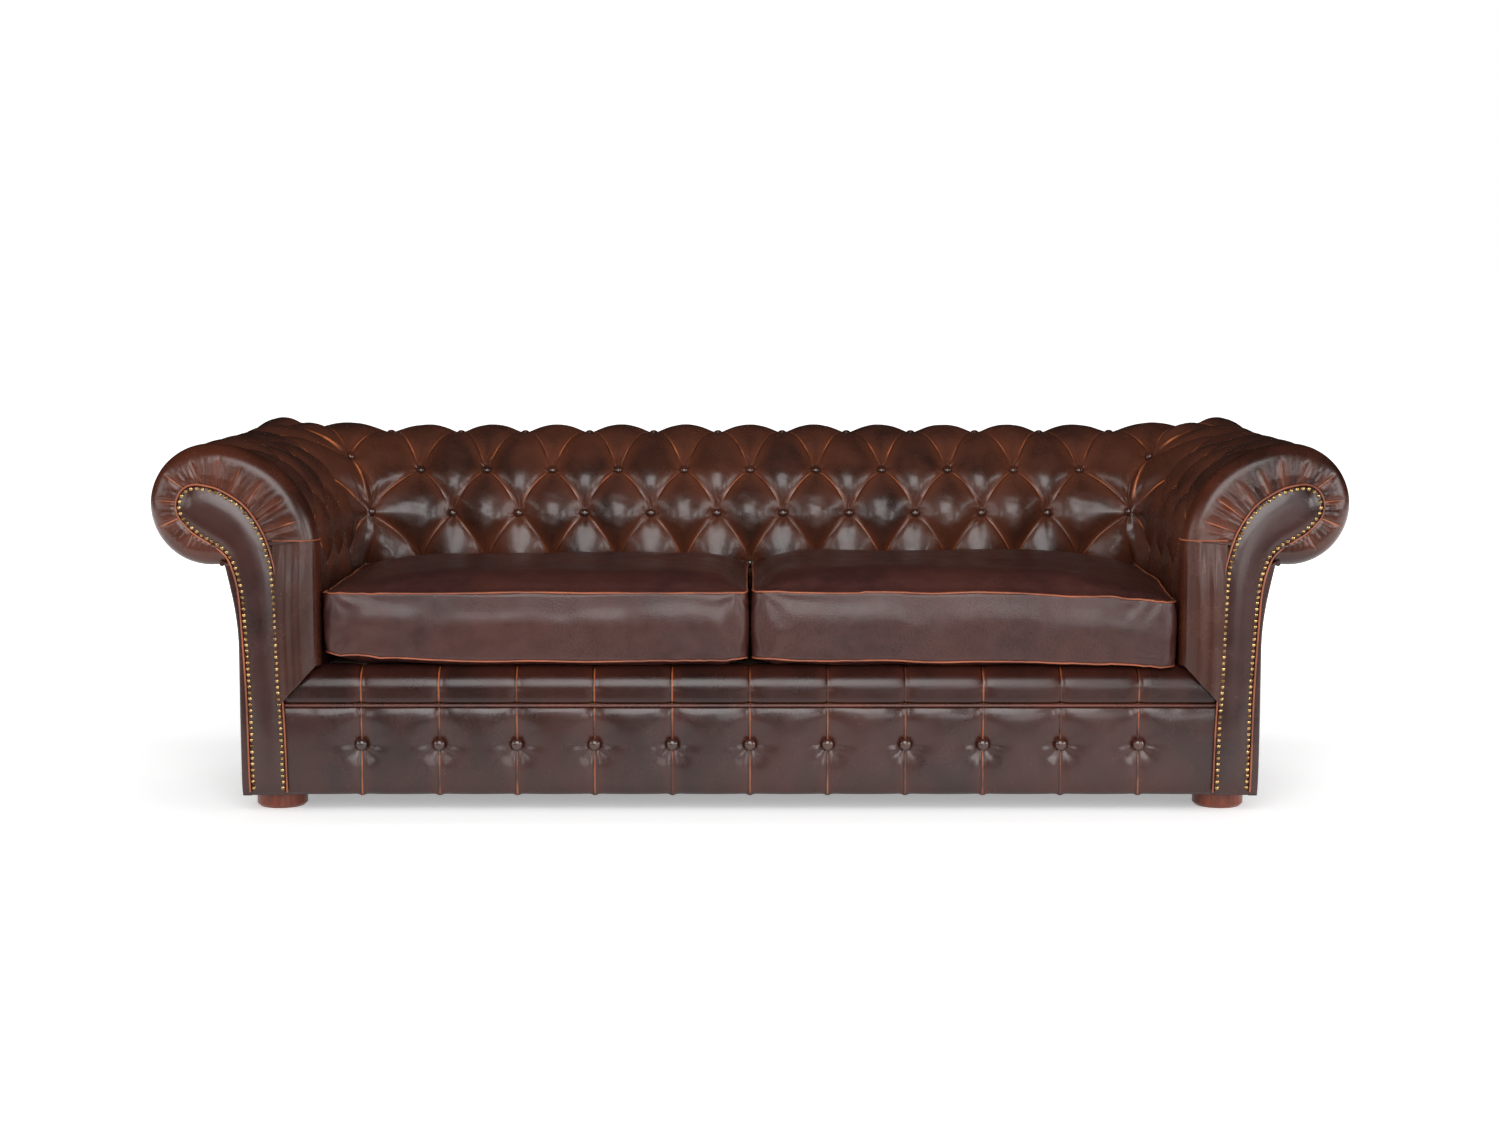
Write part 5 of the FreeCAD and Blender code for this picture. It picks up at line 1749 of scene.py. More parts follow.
@dataclass
class FrontRoll:
    """The smooth, pleated roll round the front of one arm.

    The crease knots are insets, and distances in front of the crease, at which the section starts.
    """

    workshop: Workshop
    side: Side
    seam_run: float = 0.019
    seam_height: float = 0.536
    face_y: float = -0.4650
    tuck_y: float = -0.4600
    crease_knots: tuple[tuple[float, float], ...] = ((0.017, 0.0005), (0.008, 0.006), (0.002, 0.016), (0.0, 0.026))
    turn: float = 0.034
    turn_start: float = 0.028
    under_facing: float = 0.006
    pleat_depth: float = 0.0046
    pleat_runs: tuple[float, ...] = (0.071, 0.129, 0.190, 0.251, 0.302, 0.372, 0.443, 0.503, 0.563, 0.640)
    pleat_starts: tuple[float, ...] = (0.034, 0.036, 0.040, 0.040, 0.030, 0.030, 0.020, 0.018, 0.014, 0.024)
    run_steps: int = 240
    section_steps: int = 46
    tuck_steps: int = 4
    tuck: tuple[float, float] = (0.012, 0.003)

    @staticmethod
    def facing_inset(runs: Array) -> Array:
        """How far in from the outline the facing's edge lies at each run.

        Args:
            runs: The runs.

        Returns:
            The insets.
        """
        found = []
        steps = np.arange(0.0, 0.13, 0.001)
        for run in runs:
            setback, height = OUTLINE.point(np.full(len(steps), run), steps)
            hits = inside(np.stack((setback, height), -1), FACING_RING)
            found.append(steps[np.argmax(hits)] if hits.any() else 0.06)
        return np.convolve(np.pad(found, 4, mode="edge"), np.ones(9) / 9, mode="valid")

    def build(self) -> Piece:
        """Builds the roll.

        Returns:
            The piece.
        """
        runs = np.linspace(self.seam_run, OUTLINE.end, self.run_steps)
        sections = [self.section(reach) for reach in self.facing_inset(runs) + self.under_facing]
        inset, along = np.array(sections).transpose(1, 0, 2)
        run = np.broadcast_to(runs[:, None], inset.shape)
        marks = (self.seam_run - 0.03, *self.pleat_runs, OUTLINE.end + 0.02)
        phase = np.interp(run, marks, np.arange(len(marks)))
        whole = np.round(phase)
        live = (whole >= 1) & (whole <= len(self.pleat_runs))
        groove = np.exp(-np.abs(phase - whole) * 16.0) * live * self.pleat_depth
        puff = np.sin(math.pi * np.abs(phase - np.floor(phase))) ** 0.7
        begin = np.interp(run, self.pleat_runs, self.pleat_starts)
        on_face = ease(begin - 0.012, begin + 0.016, inset) * (along < CREASE - 0.03)
        inset = inset + groove * 0.35 * on_face
        wrinkle = smooth_noise(np.stack((run.ravel(), inset.ravel() * 0.35), -1), 0.020, 17).reshape(inset.shape)
        along = along + (groove - 0.0008 * puff + 0.0007 * wrinkle) * on_face
        setback, height = OUTLINE.point(run, inset)
        height[0] = self.seam_height
        points = on_arm(along, setback, height, self.side)
        inwards, down = self.tuck
        tuck = np.linspace(0, 1, self.tuck_steps + 1)[1:, None, None] * (-self.side.value * inwards, 0.0, -down)
        points = np.concatenate((points, points[-1:] + tuck))
        mesh = turned_to_front(grid_mesh(f"front_roll_{self.side.suffix}", points))
        pattern = np.stack((phase, np.full(phase.shape, OFF_PLEATS), on_face * live), -1)
        pattern = np.pad(pattern, ((0, self.tuck_steps), (0, 0), (0, 0)), mode="edge").reshape(-1, 3)
        set_pattern(mesh, pattern[:, :2], pattern[:, 2])
        return self.workshop.piece(mesh, Finish.ROLL, SHEET_THICKNESS)

    def section(self, reach: float) -> tuple[Array, Array]:
        """A section of the roll from the crease over its front to the facing.

        Args:
            reach: The inset at which it ends under the facing.

        Returns:
            Insets and places along Y.
        """
        knots = [(inset, CREASE - past) for inset, past in self.crease_knots]
        start = CREASE - self.turn_start
        spread = self.face_y - start
        knots += [(self.turn * (1 - cos), start + spread * sin) for cos, sin in quarter_turn(7, 1)]
        if reach > self.turn + 0.004:
            knots += [((self.turn + reach) / 2, self.face_y - 0.0005), (reach, self.tuck_y)]
        path = np.array(knots)
        lengths = run_lengths(path)
        where = np.linspace(0, 1, self.section_steps) * lengths[-1]
        return np.interp(where, lengths, path[:, 0]), np.interp(where, lengths, path[:, 1])


@dataclass
class ArmFrontPanel:
    """The plain panel between the seam of one arm's front roll and the seat's lip.

    The crease knots are setbacks, and distances in front of the crease, at which the panel starts.
    """

    workshop: Workshop
    side: Side
    facing_setback: float = 0.086
    face_y: float = -0.4640
    crease_knots: tuple[tuple[float, float], ...] = ((0.013, 0.0005), (0.005, 0.005), (0.001, 0.012), (0.0, 0.02))
    turn: float = 0.038
    bottom: float = 0.217
    mitre_setback: float = 0.080
    mitre_width: float = 0.072
    mitre_rise: float = 0.077
    tuck_down: float = 0.004
    seam_height: float = 0.5375
    seam_radius: float = 0.0017
    folds: tuple[float, ...] = (0.062, 0.034)
    fold_width: float = 0.0110
    fold_height: float = 0.0055
    puff: float = 0.002

    def build(self) -> Piece:
        """Builds the panel and the piping in its seam.

        Returns:
            The panel.
        """
        knots = [(setback, CREASE - past) for setback, past in self.crease_knots]
        knots += [(self.turn * (1 - cos), self.face_y + self.turn * (1 - sin)) for cos, sin in quarter_turn(8)]
        knots.append((self.facing_setback, self.face_y))
        setback, along = resampled(np.array(knots), 0.0025, False).T
        share = np.linspace(0, 1, 90)[:, None]
        mitre = np.clip(self.mitre_setback - setback, 0, self.mitre_width)
        low = self.bottom + mitre * self.mitre_rise / self.mitre_width - self.tuck_down
        heights = low + share * (self.seam_height - low)
        lean = 0.003 * smooth_noise(heights.reshape(-1, 1), 0.4, 11).reshape(heights.shape)
        ridge = sum(np.exp(-(((setback - fold - lean) / self.fold_width) ** 2)) for fold in self.folds)
        ridge = ridge * (0.35 + 0.65 * ease(self.seam_height, self.seam_height - 0.1, heights))
        puff = self.puff * np.sin(math.pi * share)
        alongs = along - (self.fold_height * ridge + puff) * (setback > 0.01)
        points = on_arm(alongs, setback, heights, self.side)
        mesh = turned_to_front(grid_mesh(f"arm_front_panel_{self.side.suffix}", points))
        set_pattern(mesh, None, None)
        seam = points[-1] + (-self.side.value * 0.0004, -0.0008, 0.0006)
        piece = self.workshop.piece(mesh, Finish.PANEL, SHEET_THICKNESS)
        cord = self.workshop.cords(f"arm_seam_{self.side.suffix}", [seam], Finish.PIPING, self.seam_radius)
        finish_piece(cord, Body.FRAME)
        return piece


# Seat front


@dataclass
class SeatFront:
    """The buttoned border, its piping and the seamed lip above it.

    The near offsets are those of the grid's columns from a pleat, as shares of the pitch.
    """

    workshop: Workshop
    pleats: int = 11
    first: float = -0.763
    end: float = 0.9215
    near: tuple[float, ...] = (0.007, 0.018, 0.035, 0.06, 0.1, 0.15, 0.22, 0.3, 0.4)
    face_y: float = -0.4530
    bottom: float = 0.0365
    top: float = 0.2130
    button_height: float = 0.135
    button_sink: float = 0.0015
    pleat_depth: float = 0.0055
    pleat_width: float = 0.011
    pit: float = 0.0085
    edge_draw: float = 0.007
    bulge: float = 0.0045
    tail: tuple[float, float] = (0.0035, 0.004)
    piping_radius: float = 0.0036
    piping_sink: float = 0.0025
    lip_top: float = 0.290
    lip_turn: float = 0.045
    channel: float = 0.0045
    mitre: float = 0.072
    thickness: float = 0.004

    @property
    def pitch(self) -> float:
        """The distance between pleats."""
        return -2 * self.first / (self.pleats - 1)

    def stations(self) -> Array:
        """X of each column of the grid, closer together near each pleat.

        Returns:
            The places.
        """
        offsets = np.array((-0.5, *(-step for step in self.near[::-1]), 0.0, *self.near))
        middles = self.first + self.pitch * np.arange(self.pleats)
        inner = (middles[:, None] + offsets[None, :] * self.pitch).ravel()
        left = np.linspace(-self.end, inner[0], 8)[:-1]
        right = np.linspace(middles[-1] + self.pitch / 2, self.end, 8)
        return np.concatenate((left, inner, right))

    def heights(self) -> Array:
        """Z of each row of the border's grid, closer together near the buttons.

        Returns:
            The heights.
        """
        middle = self.button_height
        below = np.linspace(self.bottom, middle - 0.03, 14)
        near = np.linspace(middle - 0.026, middle + 0.026, 15)
        return np.concatenate((below, near, np.linspace(middle + 0.03, self.top - 0.0035, 14)))

    def live(self, phase: Array) -> Array:
        """Which points belong to one of the pleats."""
        whole = np.round(phase)
        return (whole >= 0) & (whole <= self.pleats - 1)

    def pattern(self, x: Array) -> tuple[Array, Array]:
        """The phase at each X, and how near the pleats are.

        Args:
            x: The places.

        Returns:
            The phases, and the distances to the nearest pleat.
        """
        phase = (x - self.first) / self.pitch
        distance = np.abs(phase - np.round(phase)) * self.pitch
        return phase, np.where(self.live(phase), distance, 1.0)

    def build(self) -> None:
        """Builds the border, piping, lip and buttons."""
        self.border()
        self.lip()
        ends = np.linspace(-self.end, self.end, 60)
        path = np.stack(np.broadcast_arrays(ends, self.face_y + self.piping_sink, self.top), -1)
        piping = self.workshop.cords("border_piping", [path], Finish.TRIM, self.piping_radius)
        finish_piece(piping, Body.FRAME, ["front_border_piping"])
        middles = [self.first + number * self.pitch for number in range(self.pleats)]
        places = [(np.array((x, self.face_y + self.button_sink, self.button_height)), FORWARD) for x in middles]
        buttons = self.workshop.heads("border_buttons", places, Finish.BUTTON, BORDER_BUTTON)
        finish_piece(buttons, Body.FRAME, ["front_border_buttons"])

    def border(self) -> None:
        """Builds the pleated border."""
        x, z = np.meshgrid(self.stations(), self.heights())
        phase, distance = self.pattern(x)
        past_button = z - self.button_height
        pleat = self.pleat_depth * np.exp(-distance / self.pleat_width)
        near_button = np.exp(-((distance / 0.030) ** 2) - (past_button / 0.032) ** 2)
        edges = np.minimum(z - self.bottom, self.top - z)
        swell = 1 - np.exp(-edges / 0.012)
        half = self.pitch / 2
        bulge = self.bulge * np.clip(np.minimum(distance, half) / half, 0, 1) ** 0.6
        folds = smooth_noise(np.stack((x.ravel(), z.ravel() * 0.35), -1), 0.035, 21).reshape(x.shape)
        gathered = np.exp(-(self.top - z) / 0.016) * folds * 0.0020
        radial = np.cos(np.arctan2(past_button, distance) * 7.0) * near_button * 0.0018
        drawn = pleat + self.pit * near_button + self.edge_draw * (1 - swell) + gathered + radial
        tail = np.exp(-((distance / 0.006) ** 2)) * np.exp(-(z - self.bottom) / 0.010)
        down, forward = self.tail
        y = self.face_y + drawn - bulge - forward * tail
        points = np.stack((x, y, z - down * tail), -1)
        self.skin("front_border", points, phase, Finish.BORDER, "front_border_pad")

    def lip(self) -> None:
        """Builds the rolled lip with its seams and mitred ends."""
        low, face, turn = self.top + self.piping_radius, self.face_y, self.lip_turn
        path = [(face + 0.004, low), (face + 0.001, low + 0.003), (face, low + 0.009), (face, self.lip_top - turn)]
        path += [(face + turn * (1 - cos), self.lip_top - turn * (1 - sin)) for cos, sin in quarter_turn(12, 1)]
        path.append((CREASE - 0.0005, self.lip_top))
        section = resampled(np.array(path), 0.004, False)
        x, y = np.meshgrid(self.stations(), section[:, 0])
        z = np.broadcast_to(section[:, 1][:, None], x.shape)
        phase, distance = self.pattern(x)
        channel = np.exp(-distance / 0.008) * self.channel
        rise = (z - low) / (self.lip_top - low)
        mitre = self.end - rise * self.mitre
        turned = (z > self.lip_top - turn) * np.clip(rise, 0, 1)
        points = np.stack((np.clip(x, -mitre, mitre), y + channel * (1 - turned), z - channel * turned), -1)
        self.skin("seat_lip", points, phase, Finish.LIP, "seat_lip_pad")

    def skin(self, name: str, points: Array, phase: Array, finish: Finish, node: str) -> None:
        """Makes a padded front piece from its grid.

        Args:
            name: The piece's name.
            points: The grid of points.
            phase: The phase of each point.
            finish: Its finish.
            node: The node that it stands for.
        """
        mesh = turned_to_front(grid_mesh(name, points))
        phases = np.stack((phase, np.full(phase.shape, OFF_PLEATS)), -1)
        set_pattern(mesh, phases.reshape(-1, 2), self.live(phase).astype(float).ravel())
        piece = self.workshop.piece(mesh, finish, self.thickness)
        finish_piece(piece, Body.FRAME, [node])


# Cushions


@dataclass
class SeatCushion:
    """One loose box cushion with its welts.

    The crown reaches are how far in from the outer end, inner end, front and rear the top is still rising.
    """

    workshop: Workshop
    side: Side
    width: float = 0.8370
    gap: float = 0.003
    front_y: float = -0.4520
    rear_y: float = 0.1340
    low: float = 0.2912
    welt: float = 0.2965
    edge: float = 0.437
    crown: float = 0.030
    crown_reach: tuple[float, ...] = (0.13, 0.26, 0.13, 0.16)
    outer_lift: float = 0.018
    inner_lift: float = 0.006
    sag: float = 0.0
    corner: float = 0.030
    rear_corner: float = 0.060
    bulge: float = 0.004
    belly: float = 0.026
    draw_in: float = 0.003
    lip_start: float = -0.408
    lip_end: float = -0.4535
    lip_radius: float = 0.0455
    ring_points: int = 220
    base_rows: int = 12
    border_rows: int = 17
    crown_rows: int = 20
    welt_radius: float = 0.0019
    welt_clear: float = 0.0012
    welt_points: int = 260
    voxel: float = 0.006
    pressure: float = 4.0
    frames: int = 20
    evening: int = 10
    puff_limit: float = 0.0035

    @property
    def centre(self) -> float:
        """X of the middle of the cushion."""
        return self.side.value * (self.width / 2 + self.gap / 2)

    @property
    def middle(self) -> Array:
        """The middle of the cushion seen from above, from its own centre line."""
        return np.array((0.0, (self.front_y + self.rear_y) / 2))

    def outline(self, count: int) -> Array:
        """The cushion's edge seen from above, with drawn-in sides, from its own centre line.

        Args:
            count: How many points it has.

        Returns:
            The points.
        """
        half, deep = self.width / 2, (self.rear_y - self.front_y) / 2
        middle_y = self.middle[1]
        points = []
        for right, back in ((-1, -1), (1, -1), (1, 1), (-1, 1)):
            radius = self.rear_corner if back > 0 and right == self.side.value else self.corner
            start = math.atan2(back, right) - math.pi / 4
            for step in range(13):
                angle = start + step / 12 * math.pi / 2
                x = right * (half - radius) + radius * math.cos(angle)
                points.append((x, middle_y + back * (deep - radius) + radius * math.sin(angle)))
        ring = resampled(np.array(points), (self.width * 2 + deep * 4) / count, True)
        x, y = ring[:, 0], ring[:, 1] - middle_y
        along_x, along_y = (np.clip(1 - share**2, 0, 1) for share in (x / half, y / deep))
        side_pull = self.draw_in * 0.35 * along_y * np.clip(np.abs(x) / half, 0, 1) ** 8
        front_pull = self.draw_in * along_x * np.clip(np.abs(y) / deep, 0, 1) ** 8
        return np.stack((x - np.sign(x) * side_pull, middle_y + y - np.sign(y) * front_pull), -1)

    def edges(self, ring: Array) -> tuple[Array, Array]:
        """The heights of the lower and the upper welt: a worn cushion lifts or sags at its ends.

        Args:
            ring: The cushion's edge.

        Returns:
            The lower heights and the upper ones.
        """
        across = self.side.value * ring[:, 0] / (self.width / 2)
        outer, inner = np.clip(across, 0, 1) ** 2, np.clip(-across, 0, 1) ** 2
        drop = self.sag * outer * ease(-0.20, -0.42, ring[:, 1])
        wave = 0.0014 * smooth_noise(ring, 0.22, 31 + self.side.value)
        low = self.welt + self.outer_lift * outer + self.inner_lift * inner - drop * 0.9
        return np.maximum(low + wave, self.rest(ring[:, 1]) + 0.003), self.edge - drop - 0.002 * outer + wave

    def rest(self, y: Array) -> Array:
        """The height of what the cushion lies on: the deck, and the rounded lip in front of it.

        Args:
            y: The Y of each point.

        Returns:
            The heights.
        """
        past = np.clip(self.lip_start - y, 0.0, self.lip_radius - 0.0005)
        lip = self.low - self.lip_radius + np.sqrt(self.lip_radius**2 - past**2)
        return np.where(y < self.lip_end, 0.0, lip)

    def base(self, ring: Array, low: Array) -> list[Array]:
        """Rings of points from the middle of the underside out to the lower welt.

        Args:
            ring: The cushion's edge.
            low: The height of its lower welt.

        Returns:
            The rings.
        """
        rows = []
        for step in range(self.base_rows, 0, -1):
            inward = step / self.base_rows
            flat = self.middle + (ring - self.middle) * (1 - inward)
            drop = self.belly * min(1.0, inward * 5)
            rows.append(np.column_stack((flat, np.maximum(low - drop, self.rest(flat[:, 1])))))
        return rows

    def border(self, ring: Array, low: Array, high: Array) -> list[Array]:
        """Rings of points from the lower welt up to the upper one.

        Args:
            ring: The cushion's edge.
            low: The height of its lower welt.
            high: That of its upper welt.

        Returns:
            The rings.
        """
        away = (ring - self.middle) / np.linalg.norm(ring - self.middle, axis=1)[:, None]
        rows = []
        for share in np.linspace(0.0, 1.0, self.border_rows):
            out = self.bulge * math.sin(math.pi * share)
            rows.append(np.column_stack((ring + away * out, low + share * (high - low))))
        return rows

    def top(self, ring: Array, high: Array) -> list[Array]:
        """Rings of points from the upper welt in over the crown.

        Args:
            ring: The cushion's edge.
            high: The height of its upper welt.

        Returns:
            The rings.
        """
        rows = []
        half = self.width / 2
        for step in range(1, self.crown_rows + 1):
            inward = (step / self.crown_rows) ** 1.5 * 0.98
            flat = self.middle + (ring - self.middle) * (1 - inward)
            across, y = self.side.value * flat[:, 0], flat[:, 1]
            rise = self.crown + 0.002 * smooth_noise(flat, 0.3, 41)
            gaps = (across + half, half - across, y - self.front_y, self.rear_y - y)
            for gap, reach in zip(gaps, self.crown_reach):
                rise = rise * (1 - (1 - np.clip(gap / reach, 0, 1)) ** 2.2)
            rise = rise * ease(0, 0.03, edge_distance(flat, ring))
            rows.append(np.column_stack((flat, high * (1 - inward) + self.edge * inward + rise)))
        return rows

    def shell(self) -> Mesh:
        """The cushion's closed form before it is puffed.

        Returns:
            The mesh.
        """
        ring = self.outline(self.ring_points)
        low, high = self.edges(ring)
        points = np.array(self.base(ring, low) + self.border(ring, low, high) + self.top(ring, high))
        points[..., 0] += self.centre
        count, width = points.shape[:2]
        faces = grid_faces(count, width, wrap=True)
        bottom, top, last = count * width, count * width + 1, (count - 1) * width
        for step in range(width):
            after = (step + 1) % width
            faces += [(bottom, step, after), (top, last + after, last + step)]
        corners = np.vstack((points.reshape(-1, 3), points[0].mean(0)[None], points[-1].mean(0)[None]))
        return outward(new_mesh(f"cushion_{self.side.suffix}", corners, faces))

    def build(self) -> None:
        """Builds the cushion and its welts."""
        piece = new_object(f"cushion_{self.side.suffix}", self.shell())
        self.puff(piece)
        set_pattern(piece.data, None, None)
        self.workshop.wardrobe.dress(piece, Finish.CUSHION)
        body = Body.CUSHION_LEFT if self.side is Side.LEFT else Body.CUSHION_RIGHT
        nodes = [f"cushion_cover_{self.side.suffix}", f"cushion_core_{self.side.suffix}"]
        welts = self.welts(piece)
        finish_piece(piece, body, nodes)
        finish_piece(welts, body)

    def puff(self, piece: Piece) -> None:
        """Swells the cushion as cloth under pressure, and keeps the result.

        Args:
            piece: The cushion.
        """
        remesh = piece.modifiers.new("remesh", "REMESH")
        remesh.mode = "VOXEL"
        remesh.voxel_size = self.voxel
        start = evaluated(piece)
        piece.data = start
        piece.modifiers.clear()
        before = vertex_vectors(start, "co")
        cloth = piece.modifiers.new("cloth", "CLOTH")
        cloth.settings.use_pressure = True
        cloth.settings.uniform_pressure_force = self.pressure
        cloth.settings.effector_weights.gravity = 0.0
        cloth.settings.quality = 5
        cloth.point_cache.frame_start = 1
        cloth.point_cache.frame_end = self.frames
        scene = bpy.context.scene
        for number in range(1, self.frames + 1):
            scene.frame_set(number)
        swollen = evaluated(piece)
        moved = neighbour_means(start, vertex_vectors(swollen, "co") - before, self.evening)
        length = np.linalg.norm(moved, axis=1)
        limit = np.minimum(1.0, self.puff_limit / np.maximum(length, 1e-9))
        result = before + moved * limit[:, None]
        result += self.creases(start, result)
        result[:, 2] = np.maximum(result[:, 2], self.rest(result[:, 1]))
        ends = sorted((self.side.value * (self.gap / 2), self.side.value * (ARM_FACE - 0.001)))
        result[:, 0] = np.clip(result[:, 0], *ends)
        piece.modifiers.clear()
        piece.data = swollen
        swollen.vertices.foreach_set("co", result.ravel())
        swollen.update()
        swollen.polygons.foreach_set("use_smooth", [True] * len(swollen.polygons))
        scene.frame_set(1)

    def creases(self, mesh: Mesh, points: Array) -> Array:
        """How far worn leather lies off its even form: slow waves, and folds that run out of the front corners.

        Args:
            mesh: The cushion's mesh.
            points: Its points.

        Returns:
            A shift for each point.
        """
        waves = 0.0010 * smooth_noise(points, 0.2, 51) + 0.0003 * smooth_noise(points, 0.06, 52)
        for end in (-1, 1):
            for height in (self.edge, self.welt):
                gap = points - (self.centre + end * (self.width / 2 - 0.02), self.front_y, height)
                angle = np.arctan2(gap[:, 2] + 0.4 * gap[:, 1], gap[:, 0] * end)
                distance = np.linalg.norm(gap, axis=1)
                fold = np.sin(angle * 9 + 3 * smooth_noise(points, 0.1, 53)) * np.exp(-distance / 0.055)
                waves += 0.0022 * fold * ease(0.004, 0.03, distance)
        return vertex_vectors(mesh, "normal") * waves[:, None]

    def welts(self, piece: Piece) -> Piece:
        """The welts round the top and bottom edges, laid on the cushion's surface.

        Args:
            piece: The cushion.

        Returns:
            The piece.
        """
        places = [vertex.co for vertex in piece.data.vertices]
        tree = BVHTree.FromPolygons(places, [list(face.vertices) for face in piece.data.polygons])
        ring = self.outline(self.welt_points)
        paths = []
        for heights in self.edges(ring):
            path = []
            for (x, y), height in zip(ring, heights):
                place, normal, _, _ = tree.find_nearest(Vector((x + self.centre, y, height)))
                path.append(list(place + normal * self.welt_clear))
            paths.append(np.array(path))
        name = f"cushion_welts_{self.side.suffix}"
        return self.workshop.cords(name, paths, Finish.PIPING, self.welt_radius, closed=True)


# Outside, deck and underside


@dataclass
class PlainCovers:
    """The plain leather outside, the deck under the cushions and the cloth stretched beneath."""

    workshop: Workshop
    setback: float = 0.154
    flare: float = 0.029
    flare_from: float = 0.320
    bottom: float = 0.036
    top: float = 0.4965
    front_y: float = -0.4622
    corner: float = 0.010
    rows: int = 60
    fold_in: float = 0.004
    thickness: float = 0.0025
    corner_welt: float = 0.0032
    roll_welt: float = 0.0055
    deck_end: float = 0.8385
    deck_front: float = -0.3995
    deck_rear: float = 0.1385
    deck_top: float = 0.2897
    deck_thickness: float = 0.0415
    quilt: tuple[float, float] = (0.2095, 0.1793)
    cloth_end: float = 0.991
    cloth_front: float = -0.4385
    cloth_rear: float = 0.291
    cloth_height: float = 0.0368
    cloth_sag: float = 0.004
    cloth_thickness: float = 0.0006

    def build(self) -> None:
        """Builds the pieces."""
        self.outside()
        self.deck()
        self.dust_cloth()

    @property
    def corner_middle(self) -> tuple[float, float]:
        """X and Y of the point that the right rear corner turns round."""
        return ARM_FACE + self.setback - self.corner, BACK_FACE + self.setback - self.corner

    def outline(self) -> Array:
        """The outside seen from above, from the front of the right arm round to the front of the left.

        Returns:
            The points.
        """
        x, y = self.corner_middle
        right = [(x + self.corner * cos, y + self.corner * sin) for cos, sin in quarter_turn(6)]
        left = [(-px, py) for px, py in right[::-1]]
        end, start = ARM_FACE + self.setback, self.front_y + self.fold_in
        return resampled(np.array([(end, start), *right, *left, (-end, start)]), 0.012, False)

    def outside(self) -> None:
        """One run of leather round both arms and the back, with a welt on each rear corner and under the roll."""
        path = self.outline()
        tangent = np.gradient(path, axis=0)
        normal = np.stack((tangent[:, 1], -tangent[:, 0]), -1) / np.linalg.norm(tangent, axis=1)[:, None]
        heights = np.linspace(self.bottom, self.top, self.rows)
        lean = self.flare * (np.clip(heights - self.flare_from, 0, None) / (self.top - self.flare_from)) ** 2
        spots = np.stack(np.broadcast_arrays(path[None, :, 0], path[None, :, 1], heights[:, None]), -1)
        slack = 0.0016 * smooth_noise(spots.reshape(-1, 3), 0.35, 61).reshape(spots.shape[:2])
        edge = np.minimum(heights - self.bottom, self.top - heights)[:, None]
        out = lean[:, None] + 0.002 * (1 - np.exp(-edge / 0.02)) + slack * ease(0, 0.06, edge)
        spots[..., :2] += normal[None] * out[..., None]
        under_roll = spots[-1] + np.pad(normal * 0.0030, ((0, 0), (0, 1))) - (0.0, 0.0, 0.0035)
        fold = self.front_fold(np.abs(spots[:, 0, 0]), heights)
        mesh = grid_mesh("outer_leather", np.concatenate((fold, spots, (fold * (-1, 1, 1))[:, ::-1]), 1))
        set_pattern(mesh, None, None)
        if mesh.polygons[8].normal.x < 0:
            mesh.flip_normals()
        piece = self.workshop.piece(mesh, Finish.BORDER, self.thickness)
        nodes = ["arm_outer_panel_left", "arm_outer_panel_right", "back_outer_panel"]
        finish_piece(piece, Body.FRAME, nodes)
        clear = math.sqrt(0.5) * self.corner + lean * 0.75 + 0.001
        x, y = (middle + clear for middle in self.corner_middle)
        corners = [np.stack((side.value * x, y, heights), -1) for side in Side]
        for name, paths, radius in (
            ("outer_welts", corners, self.corner_welt),
            ("roll_welt", [under_roll], self.roll_welt),
        ):
            finish_piece(self.workshop.cords(name, paths, Finish.BORDER, radius), Body.FRAME)

    def front_fold(self, outer: Array, heights: Array) -> Array:
        """The leather that folds over the front edge of the right arm, in to its facing.

        Args:
            outer: X of the outside at each height.
            heights: The heights.

        Returns:
            A grid of points, from the facing outwards.
        """
        edge = np.array(FACING_OUTLINE[:22:-1], float) / 1000
        inner = ARM_FACE + np.interp(heights, edge[:, 1], edge[:, 0]) - 0.001
        turned = outer - self.fold_in
        columns = [(turned * (1 - share) + inner * share, self.front_y) for share in (1.0, 0.66, 0.33, 0.0)]
        columns.append((outer - 0.001, self.front_y + 0.0012))
        return np.stack([np.stack(np.broadcast_arrays(x, y, heights), -1) for x, y in columns], 1)

    @staticmethod
    def seam_distance(place: Array, pitch: float) -> Array:
        """How near each place is to one of an even row of seams."""
        return np.abs((place / pitch + 0.5) % 1 - 0.5) * pitch

    def deck(self) -> None:
        """The quilted deck that the cushions lie on."""
        x, y = np.meshgrid(
            np.linspace(-self.deck_end, self.deck_end, 141), np.linspace(self.deck_front, self.deck_rear, 61)
        )
        across, deep = self.quilt
        seams = np.minimum(self.seam_distance(x, across), self.seam_distance(y - self.deck_front, deep))
        slack = 0.0003 * smooth_noise(np.stack((x.ravel(), y.ravel()), -1), 0.1, 71).reshape(x.shape)
        z = self.deck_top - 0.005 * np.exp(-seams / 0.008) + slack
        mesh = grid_mesh("seat_deck", np.stack((x, y, z), -1), flipped=True)
        piece = self.workshop.piece(mesh, Finish.LINING, self.deck_thickness)
        finish_piece(piece, Body.FRAME, ["seat_deck_cloth", "seat_deck_foam"])

